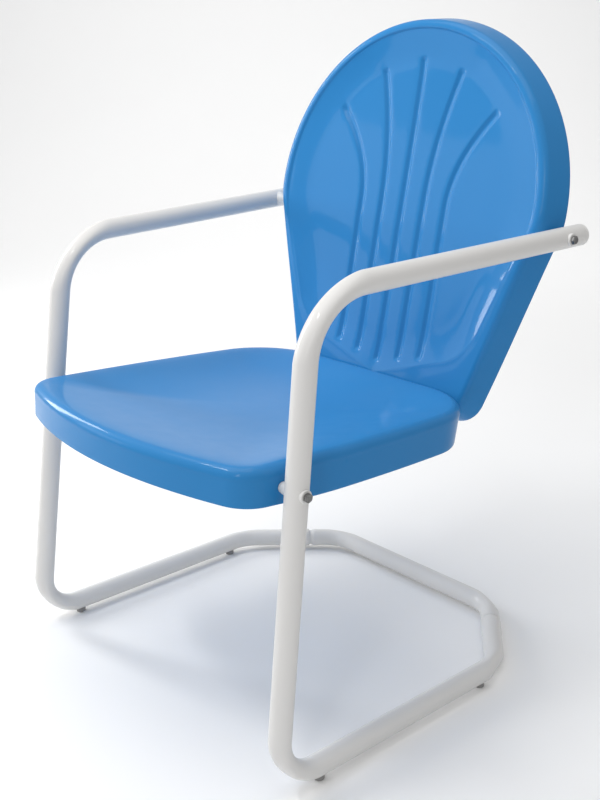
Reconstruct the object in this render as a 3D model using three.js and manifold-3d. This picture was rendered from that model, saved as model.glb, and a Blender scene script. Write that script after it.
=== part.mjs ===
// Metal lawn chair on a springy bent-tube frame, with a pressed steel seat and back
// Millimetres, +Z up, the front of the chair faces -Y, +X is the sitter's left-hand side

import * as THREE from "three";
import { mergeVertices } from "three/addons/utils/BufferGeometryUtils.js";
import Module from "manifold-3d";

const wasm = await Module();
wasm.setup();

// Clearances shared by all pieces
const FIT = 0.3;            // gap left between pieces that touch
const OVERRUN = 2;          // how far a cutting tool reaches past what it cuts
const BOLT_CLEARANCE = 0.4; // a bolt hole's radius less the bolt's

// Steel tube of the frame
const TUBE = { radius: 14, wall: 1.5, sides: 14 };
const BEND_STEPS = 6;

// What slips into the tube clears the flats of its many-sided bore
const PLUG_RADIUS = (TUBE.radius - TUBE.wall) * Math.cos(Math.PI / TUBE.sides) - FIT;

// Side frame: a floor rail, a leg that leans back and in, and an arm that rises and splays
const LEG_LEAN = THREE.MathUtils.degToRad(6.8);
const LEG_TOE_IN = THREE.MathUtils.degToRad(1.92);
const LEG_LENGTH = 575;
const LEG_TO_SEAT_BOLT = 357;
const ARM_RISE = THREE.MathUtils.degToRad(2.43);
const ARM_SPLAY = THREE.MathUtils.degToRad(3.56);
const ARM_PAST_BOLT = 33;
const RAIL_SPLAY = THREE.MathUtils.degToRad(0.6);
const RAIL_LENGTH = 398.5;
const STUB_ANGLE = THREE.MathUtils.degToRad(41);
const STUB_LENGTH = 172;
const FRONT_BEND = 52;
const ARM_BEND = 88;
const REAR_BEND = 65;

// Share of its outer radius that a tube loses on the outside of a bend
const BEND_FLATTENING = 0.4;

// Slip joint where the rear cross tube's necked ends push into the side frames
const SLIP = { fromCorner: 116, neck: 40, gap: 4, taper: 6 };

// Pressed sheet
const SHEET = 1.5;

// Seat pan: measured from its crest above the seat bolts, u runs rearwards and w upwards
const SEAT = {
  width: 477,
  bolt_to_front: 94,
  depth: 478,
  bolt_below_crest: 27,
  pitch: THREE.MathUtils.degToRad(2.3),
  front_bow: 660,
  side_bow: 2600,
  widest_at: 60,
  front_corner: 42,
  rear_corner: 108,
  roll: 12,
  dish: 22,
  dish_power: 3,
  dish_spread: 1.5,
  skirt_front: 45,
  skirt_side: 51,
  skirt_rear: 31,
};
const SEAT_STEPS = { front: 6, corner: 5, side: 6, rear: 3, roll: 3 };
const SEAT_RING_SHARES = [0.3, 0.55, 0.75, 0.88, 0.95];

// Back shell: x across, h up the reclined sheet from its foot, d forwards of the flat
const BACK = {
  recline: THREE.MathUtils.degToRad(11.3),
  foot_below_rim: 47,
  height: 564,
  widest_above_arm_bolt: 5.6,
  crown_power: 2.1,
  haunch_share: 0.529,
  foot_corner_share: 0.655,
  foot_height: 20,
  foot_radius: 36,
  roll: 10,
  flange: 35,
  draft: THREE.MathUtils.degToRad(14),
  dish: 14,
  apron: 6,
};
const PANEL = {
  margin: 21,
  corner_share: 0.655,
  corner_height: 107,
  corner_radius: 90,
  keel_height: 54,
  ledge: 10,
  step: 4,
  crown_dish_power: 6,
};
const BACK_STEPS = { foot: 5, corner: 4, side: 3, haunch: 2, crown: 13, roll: 3 };
const PANEL_RING_SHARES = [0.35, 0.65, 0.85, 0.95];

// Five pressed grooves that fan out like the ribs of a shell
const RIB = { width: 12, depth: 3, spacing: 41, foot: 70, foot_step: 9, runout: 9 };
const RIB_TOP_SHARES = [0.91, 0.88, 0.782];
const RIB_FAN_SHARES = [0, 0.8, 1.62];
const RIB_FAN_START = 305;
const RIB_END_SHARE = 0.55;
const RIB_FAN_STEPS = 7;
const RIB_ARC_STEPS = 3;

// Fasteners and small fittings
const BOLT = { radius: 3, head_flats: 10, head: 4, tail: 3 };
const NUT = { flats: 10, height: 5 };
const WASHER = { radius: 8, height: 2 };
const SPACER = { wall_radius: 6.5, seat_radius: 9.5, seat_length: 10.4, arm_radius: 12, arm_length: 14 };
const JOINING_BOLT = { count: 3, from_corner: 16, below_crest: 23, head_radius: 6, head: 2.5 };
const JOINT_SCREW = { radius: 2, head_radius: 4, head: 2, length: 8, from_end: 18 };
const ROUND_HEAD_SHARES = { crown: 0.55, lip: 0.33 };
const PLUG = { dome: 6, lip: 2, stem: 16 };
const PLUG_DOME_STEPS = 4;
const GLIDE = { radius: 7, height: 6, stem_radius: 2.5, stem: 9, chamfer: 1.5 };
const GLIDE_FRONT_Y = 66.5;
const GLIDE_REAR_Y = 366;
const SMALL_SIDES = 12;

// Paint and fitting materials
function finish(color, roughness, metalness) {
  return new THREE.MeshStandardMaterial({ color, roughness, metalness });
}
const bluePaint = () => finish(0x2f74c0, 0.25, 0.1);
const whitePaint = () => finish(0xe6e5e2, 0.3, 0.1);
const zinc = () => finish(0x9a9a98, 0.35, 0.9);
const whitePlastic = () => finish(0xeceae6, 0.5, 0);
const greyPlastic = () => finish(0x77777a, 0.6, 0);

// Solids

function toSolid(geometry) {
  const bare = geometry.clone();
  bare.deleteAttribute("normal");
  bare.deleteAttribute("uv");
  const merged = mergeVertices(bare);
  const vertProperties = new Float32Array(merged.attributes.position.array);
  const triVerts = new Uint32Array(merged.index.array);
  return new wasm.Manifold(new wasm.Mesh({ numProp: 3, vertProperties, triVerts }));
}

function toGeometry(solid) {
  const mesh = solid.getMesh();
  const geometry = new THREE.BufferGeometry();
  geometry.setAttribute("position", new THREE.BufferAttribute(new Float32Array(mesh.vertProperties), 3));
  geometry.setIndex(new THREE.BufferAttribute(new Uint32Array(mesh.triVerts), 1));
  geometry.computeVertexNormals();
  return geometry;
}

function cut(geometry, tools) {
  const solid = tools.reduce((rest, tool) => rest.subtract(toSolid(tool)), toSolid(geometry));
  return toGeometry(solid);
}

// Six times the volume that the triangles enclose: negative where they face inwards
function signedVolume(points, triangles) {
  let total = 0;
  for (let i = 0; i < triangles.length; i += 3) {
    const [a, b, c] = [points[triangles[i]], points[triangles[i + 1]], points[triangles[i + 2]]];
    total += a.dot(b.clone().cross(c));
  }
  return total;
}

function closedGeometry(points, triangles) {
  if (signedVolume(points, triangles) < 0) triangles.reverse();
  const coordinates = points.flatMap((p) => [p.x, p.y, p.z]);
  const geometry = new THREE.BufferGeometry();
  geometry.setAttribute("position", new THREE.Float32BufferAttribute(coordinates, 3));
  geometry.setIndex(triangles);
  geometry.computeVertexNormals();
  return geometry;
}

// Rings of equal counts skinned in order: closed on themselves, or capped with a fan at each end
function skin(rings, closedOnItself) {
  const count = rings[0].length;
  const points = rings.flat();
  const triangles = [];
  const spans = closedOnItself ? rings.length : rings.length - 1;
  for (let k = 0; k < spans; k++) {
    const here = k * count;
    const next = ((k + 1) % rings.length) * count;
    for (let i = 0; i < count; i++) {
      const j = (i + 1) % count;
      triangles.push(here + i, next + i, here + j, here + j, next + i, next + j);
    }
  }
  if (!closedOnItself) {
    capWithFan(points, triangles, 0, count, false);
    capWithFan(points, triangles, (rings.length - 1) * count, count, true);
  }
  return closedGeometry(points, triangles);
}

function capWithFan(points, triangles, first, count, last) {
  const middle = new THREE.Vector3();
  for (let i = 0; i < count; i++) middle.addScaledVector(points[first + i], 1 / count);
  const hub = points.push(middle) - 1;
  for (let i = 0; i < count; i++) {
    const j = (i + 1) % count;
    if (last) triangles.push(hub, first + j, first + i);
    else triangles.push(hub, first + i, first + j);
  }
}

function mirrored(geometry) {
  const copy = geometry.clone().scale(-1, 1, 1);
  const index = Array.from(copy.index.array).reverse();
  copy.setIndex(index);
  copy.computeVertexNormals();
  return copy;
}

// Tubes

// Centre line through corners, each rounded with its bend radius and flattened on its outside
function bentLine(corners, bends) {
  const last = corners.length - 1;
  const startAlong = corners[1].clone().sub(corners[0]).normalize();
  const endAlong = corners[last].clone().sub(corners[last - 1]).normalize();
  const line = [{ at: corners[0].clone(), along: startAlong, squeeze: 0 }];
  for (let i = 1; i < last; i++) {
    const into = corners[i].clone().sub(corners[i - 1]).normalize();
    const out = corners[i + 1].clone().sub(corners[i]).normalize();
    const turn = into.angleTo(out);
    const reach = bends[i - 1] * Math.tan(turn / 2);
    const inward = out.clone().addScaledVector(into, -into.dot(out)).normalize();
    const start = corners[i].clone().addScaledVector(into, -reach);
    const steps = Math.round((BEND_STEPS * turn) / (Math.PI / 2)) + 1;
    for (let k = 0; k <= steps; k++) {
      const angle = (turn * k) / steps;
      const at = start.clone()
        .addScaledVector(into, bends[i - 1] * Math.sin(angle))
        .addScaledVector(inward, bends[i - 1] * (1 - Math.cos(angle)));
      const along = into.clone().multiplyScalar(Math.cos(angle)).addScaledVector(inward, Math.sin(angle));
      const outward = into.clone().multiplyScalar(Math.sin(angle)).addScaledVector(inward, -Math.cos(angle));
      line.push({ at, along, outward, squeeze: BEND_FLATTENING * Math.sin((Math.PI * k) / steps) });
    }
  }
  line.push({ at: corners[last].clone(), along: endAlong, squeeze: 0 });
  return line;
}

function straightLine(from, to) {
  return bentLine([from, to], []);
}

// Rings square to a centre line, with a radius for each of its points
function tubeRings(line, radii) {
  const side = new THREE.Vector3(1, 0, 0);
  if (Math.abs(line[0].along.x) > Math.SQRT1_2) side.set(0, 0, 1);
  return line.map(({ at, along, outward, squeeze }, i) => {
    side.addScaledVector(along, -side.dot(along)).normalize();
    const across = along.clone().cross(side);
    return Array.from({ length: TUBE.sides }, (_, k) => {
      const angle = ((k + 0.5) * 2 * Math.PI) / TUBE.sides;
      const spoke = side.clone().multiplyScalar(Math.cos(angle)).addScaledVector(across, Math.sin(angle));
      if (squeeze > 0) spoke.addScaledVector(outward, -squeeze * Math.max(0, spoke.dot(outward)));
      return at.clone().addScaledVector(spoke, radii[i]);
    });
  });
}

// Open-ended tube of the frame's wall, with its outer radius at each point of its line
function hollowTube(line, radii = line.map(() => TUBE.radius)) {
  const outer = tubeRings(line, radii);
  const inner = tubeRings(line, radii.map((r) => r - TUBE.wall));
  return skin([...outer, ...inner.reverse()], true);
}

function rod(line, radius) {
  return skin(tubeRings(line, line.map(() => radius)), false);
}

// Side frame layout, right-hand frame as seen from the front: x is positive

const legDirection = new THREE.Vector3(-Math.sin(LEG_TOE_IN), Math.sin(LEG_LEAN), 1)
  .setZ(Math.sqrt(1 - Math.sin(LEG_TOE_IN) ** 2 - Math.sin(LEG_LEAN) ** 2));
const armDirection = new THREE.Vector3(Math.sin(ARM_SPLAY), 1, Math.sin(ARM_RISE))
  .setY(Math.sqrt(1 - Math.sin(ARM_SPLAY) ** 2 - Math.sin(ARM_RISE) ** 2));
const railDirection = new THREE.Vector3(Math.sin(RAIL_SPLAY), Math.cos(RAIL_SPLAY), 0);
const stubDirection = new THREE.Vector3(-Math.sin(STUB_ANGLE), Math.cos(STUB_ANGLE), 0);

// The seat's wall at its bolts, a little in from the widest place of the bowed side
const sideBowDrop = SEAT.side_bow - Math.sqrt(SEAT.side_bow ** 2 - SEAT.widest_at ** 2);
const seatWall = SEAT.width / 2 - sideBowDrop;
const seatBoltX = seatWall + SPACER.seat_length + TUBE.radius;
const frontCorner = new THREE.Vector3(seatBoltX - legDirection.x * LEG_TO_SEAT_BOLT, 0, 0);
const seatBolt = frontCorner.clone().addScaledVector(legDirection, LEG_TO_SEAT_BOLT);
const armCorner = frontCorner.clone().addScaledVector(legDirection, LEG_LENGTH);
const railCorner = frontCorner.clone().addScaledVector(railDirection, RAIL_LENGTH);
const crossCorner = railCorner.clone().addScaledVector(stubDirection, STUB_LENGTH);
const stubEnd = railCorner.clone().addScaledVector(stubDirection, SLIP.fromCorner);

// How far from its corner the springy front bend meets the leg and the rail
const frontTurn = legDirection.angleTo(railDirection.clone().negate());
const frontReach = FRONT_BEND * Math.tan(frontTurn / 2);

// Seat pan frame

function seatPoint(x, u, w) {
  const rearwards = new THREE.Vector3(0, Math.cos(SEAT.pitch), -Math.sin(SEAT.pitch));
  const upwards = new THREE.Vector3(0, Math.sin(SEAT.pitch), Math.cos(SEAT.pitch));
  return new THREE.Vector3(x, seatBolt.y, seatBolt.z)
    .addScaledVector(rearwards, u)
    .addScaledVector(upwards, w + SEAT.bolt_below_crest);
}

const seatRear = SEAT.depth - SEAT.bolt_to_front;
const seatRearLean = BACK.recline - SEAT.pitch;

// Back shell frame: its apron lies on the seat's rear skirt

const backRim = seatPoint(0, seatRear, -SEAT.roll);
const backForwards = new THREE.Vector3(0, -Math.cos(BACK.recline), Math.sin(BACK.recline));
const backUpwards = new THREE.Vector3(0, Math.sin(BACK.recline), Math.cos(BACK.recline));
const backFoot = backRim.clone()
  .addScaledVector(backForwards, -(BACK.apron + FIT))
  .addScaledVector(backUpwards, -BACK.foot_below_rim);

function backPoint(x, h, d) {
  return backFoot.clone().setX(x).addScaledVector(backUpwards, h).addScaledVector(backForwards, d);
}

// The arm bolt goes through the flange, on the arm's line at its own distance behind the fold
const flangeBoltDepth = BACK.dish - BACK.roll - BOLT.head_flats / 2;
const toFlange = backPoint(0, 0, flangeBoltDepth).sub(armCorner.clone().setX(0)).dot(backForwards);
const armBolt = armCorner.clone()
  .addScaledVector(armDirection, toFlange / armDirection.dot(backForwards));
const armEnd = armBolt.clone().addScaledVector(armDirection, ARM_PAST_BOLT);
const flangeAtBolt = armBolt.x - TUBE.radius - SPACER.arm_length;
const draftAtBolt = Math.tan(BACK.draft) * (BOLT.head_flats / 2);
const backHalfWidth = flangeAtBolt - draftAtBolt;

// The back is widest just above the arm bolts, and its crown rises from there
const armBoltHeight = armBolt.clone().sub(backFoot).dot(backUpwards);
const crownHeight = armBoltHeight + BACK.widest_above_arm_bolt;
const crownRise = BACK.height - crownHeight;
const haunchDrop = crownHeight * BACK.haunch_share;

// Flat outlines

function arcPoints(centre, radius, from, to, steps) {
  return Array.from({ length: steps + 1 }, (_, k) => {
    const angle = from + ((to - from) * k) / steps;
    return new THREE.Vector2(centre.x + radius * Math.cos(angle), centre.y + radius * Math.sin(angle));
  });
}

function linePoints(a, b, steps) {
  return Array.from({ length: steps + 1 }, (_, k) => a.clone().lerp(b, k / steps));
}

// Half an outline from the middle of one end to the middle of the other, closed by its mirror image
function closeByMirror(half) {
  const distinct = half.filter((p, i) => i === 0 || p.distanceTo(half[i - 1]) > FIT / 2);
  const other = distinct.slice(1, -1).reverse().map((p) => new THREE.Vector2(-p.x, p.y));
  return [...distinct, ...other];
}

// Outward normals of a closed outline that runs anticlockwise
function outwardNormals(outline) {
  return outline.map((_, i) => {
    const before = outline[(i + outline.length - 1) % outline.length];
    const after = outline[(i + 1) % outline.length];
    return new THREE.Vector2(after.y - before.y, before.x - after.x).normalize();
  });
}

// Seat pan

// The right-hand one of the two places at given distances from two centres
function placeFrom(a, toA, b, toB) {
  const apart = b.clone().sub(a);
  const along = (toA ** 2 - toB ** 2 + apart.lengthSq()) / (2 * apart.length());
  const aside = Math.sqrt(toA ** 2 - along ** 2);
  const unit = apart.normalize();
  const foot = a.clone().addScaledVector(unit, along);
  const across = new THREE.Vector2(-unit.y, unit.x).multiplyScalar(aside);
  const options = [foot.clone().add(across), foot.clone().sub(across)];
  return options.sort((p, q) => q.x - p.x)[0];
}

function seatSideCentre() {
  return new THREE.Vector2(SEAT.width / 2 - SEAT.side_bow, SEAT.widest_at);
}

function seatRearCornerCentre() {
  const side = seatSideCentre();
  const farY = seatRear - SEAT.rear_corner;
  const farReach = Math.sqrt((SEAT.side_bow - SEAT.rear_corner) ** 2 - (farY - side.y) ** 2);
  return new THREE.Vector2(side.x + farReach, farY);
}

// A bowed front and bowed sides, with rounded corners, and a straight rear
function seatOutline() {
  const front = new THREE.Vector2(0, SEAT.front_bow - SEAT.bolt_to_front);
  const side = seatSideCentre();
  const insideFront = SEAT.front_bow - SEAT.front_corner;
  const nearCentre = placeFrom(front, insideFront, side, SEAT.side_bow - SEAT.front_corner);
  const farCentre = seatRearCornerCentre();
  const rearStart = new THREE.Vector2(farCentre.x, seatRear);
  const down = -Math.PI / 2;
  const nearAngle = nearCentre.clone().sub(front).angle() - 2 * Math.PI;
  const sideAngle = nearCentre.clone().sub(side).angle() - 2 * Math.PI;
  const farAngle = farCentre.clone().sub(side).angle();
  return closeByMirror([
    ...arcPoints(front, SEAT.front_bow, down, nearAngle, SEAT_STEPS.front),
    ...arcPoints(nearCentre, SEAT.front_corner, nearAngle, sideAngle, SEAT_STEPS.corner).slice(1),
    ...arcPoints(side, SEAT.side_bow, sideAngle, farAngle, SEAT_STEPS.side).slice(1),
    ...arcPoints(farCentre, SEAT.rear_corner, farAngle, -down, SEAT_STEPS.corner).slice(1),
    ...linePoints(rearStart, new THREE.Vector2(0, seatRear), SEAT_STEPS.rear).slice(1),
  ]);
}

function skirtDepth(u) {
  const rear = THREE.MathUtils.smoothstep(u, seatRear - SEAT.rear_corner / 2, seatRear - SEAT.roll);
  const side = THREE.MathUtils.smoothstep(u, -SEAT.bolt_to_front, SEAT.bolt_to_front);
  const forward = THREE.MathUtils.lerp(SEAT.skirt_front, SEAT.skirt_side, side);
  return THREE.MathUtils.lerp(forward, SEAT.skirt_rear, rear);
}

// The skirt hangs square to the seat, and leans in at the rear to lie on the back
function skirtLean(u) {
  const rear = THREE.MathUtils.smoothstep(u, seatRear - SEAT.rear_corner, seatRear - SEAT.roll);
  return rear * Math.tan(seatRearLean);
}

function seatTopRings() {
  const outline = seatOutline();
  const normals = outwardNormals(outline);
  const crest = outline.map((p, i) => p.clone().addScaledVector(normals[i], -SEAT.roll));
  const middle = new THREE.Vector2(0, seatRear / 2);
  const dished = SEAT_RING_SHARES.map((share) => crest.map((p) => {
    const q = middle.clone().lerp(p, share);
    return seatPoint(q.x, q.y, -SEAT.dish * (1 - share ** SEAT.dish_power) ** SEAT.dish_spread);
  }));
  const rolled = Array.from({ length: SEAT_STEPS.roll + 1 }, (_, k) => crest.map((p, i) => {
    const angle = ((Math.PI / 2) * k) / SEAT_STEPS.roll;
    const q = p.clone().addScaledVector(normals[i], SEAT.roll * Math.sin(angle));
    return seatPoint(q.x, q.y, -SEAT.roll * (1 - Math.cos(angle)));
  }));
  const hem = outline.map((p, i) => {
    const fall = skirtDepth(p.y) - SEAT.roll;
    const q = p.clone().addScaledVector(normals[i], -fall * skirtLean(p.y));
    return seatPoint(q.x, q.y, -skirtDepth(p.y));
  });
  return [...dished, ...rolled, hem];
}

// Sheet under a grid of rings: each point moves by the sheet's thickness along the grid's normal
function undersideOf(rings, thickness, facing) {
  const count = rings[0].length;
  return rings.map((ring, k) => ring.map((p, i) => {
    const ahead = rings[Math.min(k + 1, rings.length - 1)][i];
    const behind = rings[Math.max(k - 1, 0)][i];
    const left = ring[(i + 1) % count];
    const right = ring[(i + count - 1) % count];
    const normal = ahead.clone().sub(behind).cross(left.clone().sub(right)).normalize();
    return p.clone().addScaledVector(normal, -facing * thickness);
  }));
}

function sheet(rings, facing) {
  return skin([...rings, ...undersideOf(rings, SHEET, facing).reverse()], false);
}

// Small round and six-sided pieces along X, from one x to another

function alongX(geometry, fromX, toX) {
  geometry.rotateZ(-Math.PI / 2);
  geometry.translate((fromX + toX) / 2, 0, 0);
  return geometry;
}

function cylinderX(radius, fromX, toX, sides = SMALL_SIDES) {
  return alongX(new THREE.CylinderGeometry(radius, radius, toX - fromX, sides), fromX, toX);
}

function coneX(fromRadius, toRadius, fromX, toX) {
  return alongX(new THREE.CylinderGeometry(toRadius, fromRadius, toX - fromX, SMALL_SIDES), fromX, toX);
}

function hexRadius(flats) {
  return flats / Math.sqrt(3);
}

function boltHoleAt(point, halfLength) {
  const hole = cylinderX(BOLT.radius + BOLT_CLEARANCE, -halfLength, halfLength);
  return hole.translate(point.x, point.y, point.z);
}

function seatPan() {
  const pan = sheet(seatTopRings(), 1);
  const sideHoles = [1, -1].map((side) => boltHoleAt(seatBolt.clone().setX(side * seatWall), SEAT.roll));
  return cut(pan, [...sideHoles, ...joiningPlaces().map(joiningHole)]);
}

// Back shell

// Point where a line from outside touches the crown's ellipse, on its right-hand side
function touchOnEllipse(from, centreH, a, b) {
  const p = new THREE.Vector2(from.x / a, (from.y - centreH) / b);
  const angle = Math.atan2(p.y, p.x) + Math.acos(1 / p.length());
  return { angle, point: new THREE.Vector2(a * Math.cos(angle), centreH + b * Math.sin(angle)) };
}

// Egg-shaped outline: a level or sloping foot, a rounded corner, a straight side and a full crown
function eggOutline(halfWidth, rise, corner, cornerRadius, footH) {
  const touch = touchOnEllipse(corner, crownHeight, halfWidth, haunchDrop);
  const foot = new THREE.Vector2(0, footH);
  const alongFoot = foot.clone().sub(corner).normalize();
  const alongSide = touch.point.clone().sub(corner).normalize();
  const opening = Math.acos(alongFoot.dot(alongSide));
  const reach = cornerRadius / Math.tan(opening / 2);
  const bisector = alongFoot.clone().add(alongSide).normalize();
  const centre = corner.clone().addScaledVector(bisector, cornerRadius / Math.sin(opening / 2));
  const arcStart = corner.clone().addScaledVector(alongFoot, reach);
  const arcEnd = corner.clone().addScaledVector(alongSide, reach);
  const from = Math.atan2(arcStart.y - centre.y, arcStart.x - centre.x);
  const to = Math.atan2(arcEnd.y - centre.y, arcEnd.x - centre.x);
  const widest = { x: 0, y: 0 };
  const haunch = arcPoints(widest, 1, touch.angle, 0, BACK_STEPS.haunch)
    .map((p) => new THREE.Vector2(p.x * halfWidth, crownHeight + p.y * haunchDrop));
  const crown = arcPoints(widest, 1, 0, Math.PI / 2, BACK_STEPS.crown)
    .map((p) => new THREE.Vector2(
      halfWidth * Math.max(0, p.x) ** (2 / BACK.crown_power),
      crownHeight + rise * p.y ** (2 / BACK.crown_power)));
  return closeByMirror([
    ...linePoints(foot, arcStart, BACK_STEPS.foot),
    ...arcPoints(centre, cornerRadius, from, to, BACK_STEPS.corner).slice(1),
    ...linePoints(arcEnd, touch.point, BACK_STEPS.side).slice(1),
    ...haunch.slice(1),
    ...crown.slice(1),
  ]);
}

function faceOutline() {
  const corner = new THREE.Vector2(backHalfWidth * BACK.foot_corner_share, BACK.foot_height);
  return eggOutline(backHalfWidth, crownRise, corner, BACK.foot_radius, BACK.foot_height);
}

function panelOutline() {
  const corner = new THREE.Vector2(backHalfWidth * PANEL.corner_share, PANEL.corner_height);
  const halfWidth = backHalfWidth - PANEL.margin;
  const rise = crownRise - PANEL.margin;
  return eggOutline(halfWidth, rise, corner, PANEL.corner_radius, PANEL.keel_height);
}

// How far the folded edge stands forward of the flat: the apron at the foot, the full dish above it
function edgeForward(h) {
  const share = THREE.MathUtils.smoothstep(h, PANEL.keel_height, crownHeight);
  return THREE.MathUtils.lerp(BACK.apron, BACK.dish, share);
}

// The panel is dished across and stands back from the edge by a small step
function panelForward(x, h) {
  const across = Math.min(1, Math.abs(x) / backHalfWidth) ** 2;
  const up = Math.max(0, (h - crownHeight) / crownRise) ** PANEL.crown_dish_power;
  const dish = (edgeForward(h) - PANEL.step) * Math.max(across, up);
  return h < crownHeight ? dish * THREE.MathUtils.smoothstep(h, PANEL.keel_height, crownHeight) : dish;
}

function backFrontRings() {
  const fold = faceOutline();
  const panel = panelOutline();
  const normals = outwardNormals(fold);
  const middle = new THREE.Vector2(0, crownHeight);
  const inset = fold.map((p, i) => p.clone().addScaledVector(normals[i], -BACK.roll));
  const face = PANEL_RING_SHARES.map((share) => panel.map((p) => {
    const q = middle.clone().lerp(p, share);
    return backPoint(q.x, q.y, panelForward(q.x, q.y));
  }));
  const crease = panel.map((p) => backPoint(p.x, p.y, panelForward(p.x, p.y)));
  const ledge = panel.map((p, i) => {
    const q = p.clone().lerp(inset[i], Math.min(1 / 2, PANEL.ledge / p.distanceTo(inset[i])));
    return backPoint(q.x, q.y, edgeForward(q.y));
  });
  const rolled = Array.from({ length: BACK_STEPS.roll + 1 }, (_, k) => inset.map((p, i) => {
    const angle = ((Math.PI / 2 - BACK.draft) * k) / BACK_STEPS.roll;
    const q = p.clone().addScaledVector(normals[i], BACK.roll * Math.sin(angle));
    return backPoint(q.x, q.y, edgeForward(p.y) - BACK.roll * (1 - Math.cos(angle)));
  }));
  const turned = Math.PI / 2 - BACK.draft;
  const edge = inset.map((p, i) => {
    const out = BACK.roll * Math.sin(turned) + BACK.flange * Math.sin(BACK.draft);
    const q = p.clone().addScaledVector(normals[i], out);
    const back = BACK.roll * (1 - Math.cos(turned)) + BACK.flange * Math.cos(BACK.draft);
    return backPoint(q.x, q.y, edgeForward(p.y) - back);
  });
  return [...face, crease, ledge, ...rolled, edge];
}

function ribTop(index) {
  return BACK.height * RIB_TOP_SHARES[index];
}

// Centre line of one rib, straight up from its foot and then fanning outwards
function ribPlace(index, h) {
  const rise = Math.max(0, h - RIB_FAN_START) / (ribTop(index) - RIB_FAN_START);
  return new THREE.Vector2(RIB.spacing * (index + RIB_FAN_SHARES[index] * rise ** 2), h);
}

// Heights of a rib's cross-sections: one long straight stretch, then even steps round the fan
function ribHeights(index) {
  const foot = RIB.foot + RIB.foot_step * index;
  const fanTop = ribTop(index) - RIB.runout;
  const fan = Array.from({ length: RIB_FAN_STEPS }, (_, k) => (
    THREE.MathUtils.lerp(RIB_FAN_START, fanTop, (k + 1) / RIB_FAN_STEPS)));
  return [foot, foot + RIB.runout, RIB_FAN_START, ...fan, ribTop(index)];
}

// Solid along a rib from a closing flat out to a round bottom, shallow at both of its ends
function ribSolid(index, side, grow, flatForward) {
  const chord = RIB.width / 2;
  const radius = (chord ** 2 + RIB.depth ** 2) / (2 * RIB.depth);
  const halfAngle = Math.asin(chord / radius);
  const heights = ribHeights(index);
  const rings = heights.map((h, k) => {
    const place = ribPlace(index, h);
    const along = ribPlace(index, h + FIT).sub(ribPlace(index, h - FIT)).normalize();
    const swell = k === 0 || k === heights.length - 1 ? RIB_END_SHARE : 1;
    const arc = Array.from({ length: RIB_ARC_STEPS + 1 }, (_, j) => {
      const angle = halfAngle * (-1 + (2 * j) / RIB_ARC_STEPS);
      const across = (radius + grow) * Math.sin(angle) * swell;
      const deep = ((radius + grow) * Math.cos(angle) - (radius - RIB.depth)) * swell;
      return { across, d: -deep };
    });
    const flat = [arc[RIB_ARC_STEPS], arc[0]].map(({ across }) => ({ across, d: flatForward }));
    return [...arc, ...flat].map(({ across, d }) => {
      const x = place.x + across * along.y;
      const up = place.y - across * along.x;
      return backPoint(side * x, up, panelForward(x, up) + d);
    });
  });
  return skin(rings, false);
}

function ribs(grow, flatForward) {
  const sides = [[0, 1], [1, 1], [1, -1], [2, 1], [2, -1]];
  return sides.map(([index, side]) => ribSolid(index, side, grow, flatForward));
}

function backShell() {
  const tray = toSolid(sheet(backFrontRings(), 1));
  const beaded = ribs(SHEET, -SHEET / 2).reduce((all, rib) => all.add(toSolid(rib)), tray);
  const grooved = ribs(0, OVERRUN).reduce((all, rib) => all.subtract(toSolid(rib)), beaded);
  const flangePlaces = [1, -1].map((side) => armBolt.clone().setX(side * flangeAtBolt));
  const armHoles = flangePlaces.map((place) => boltHoleAt(place, SPACER.arm_length));
  return cut(toGeometry(grooved), [...armHoles, ...joiningPlaces().map(joiningHole)]);
}

// Three bolts that join the seat's rear skirt to the back's apron, square to the sheet

function joiningPlaces() {
  const below = JOINING_BOLT.below_crest - SEAT.roll;
  const outermost = seatRearCornerCentre().x - JOINING_BOLT.from_corner;
  return Array.from({ length: JOINING_BOLT.count }, (_, k) => {
    const x = outermost * ((2 * k) / (JOINING_BOLT.count - 1) - 1);
    return backRim.clone().setX(x).addScaledVector(backUpwards, -below);
  });
}

// Turns a piece made along X so that it points forwards out of the back, then puts it in place
function placeOnBack(geometry, point) {
  const turn = new THREE.Quaternion().setFromUnitVectors(new THREE.Vector3(1, 0, 0), backForwards);
  return geometry.applyQuaternion(turn).translate(point.x, point.y, point.z);
}

function joiningHole(point) {
  return placeOnBack(cylinderX(BOLT.radius + BOLT_CLEARANCE, -SEAT.roll, SEAT.roll), point);
}

// Round-headed bolt or screw standing on Y, with the underside of its head at zero
function roundHeaded(headRadius, head, radius, length, point) {
  const profile = [
    [0, -head],
    [headRadius * ROUND_HEAD_SHARES.crown, -head],
    [headRadius, -head * ROUND_HEAD_SHARES.lip],
    [headRadius, 0],
    [radius, 0],
    [radius, length],
    [0, length + point],
  ];
  return new THREE.LatheGeometry(profile.map(([r, y]) => new THREE.Vector2(r, y)), SMALL_SIDES);
}

function joiningBolt(point) {
  const behind = FIT + SHEET + FIT;
  const shank = behind + SHEET + FIT + NUT.height + BOLT.tail;
  const bolt = roundHeaded(JOINING_BOLT.head_radius, JOINING_BOLT.head, BOLT.radius, shank, 0);
  return placeOnBack(bolt.rotateZ(-Math.PI / 2).translate(-behind, 0, 0), point);
}

function hexNut() {
  const body = cylinderX(hexRadius(NUT.flats), 0, NUT.height, 6);
  return cut(body, [cylinderX(BOLT.radius + FIT, -OVERRUN, NUT.height + OVERRUN)]);
}

function joiningNut(point) {
  return placeOnBack(hexNut().translate(SHEET + FIT, 0, 0), point);
}

// Frame pieces of the right-hand side

function armAndLegLine() {
  const start = frontCorner.clone().addScaledVector(legDirection, frontReach + FIT / 2);
  return bentLine([start, armCorner, armEnd], [ARM_BEND]);
}

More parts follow.
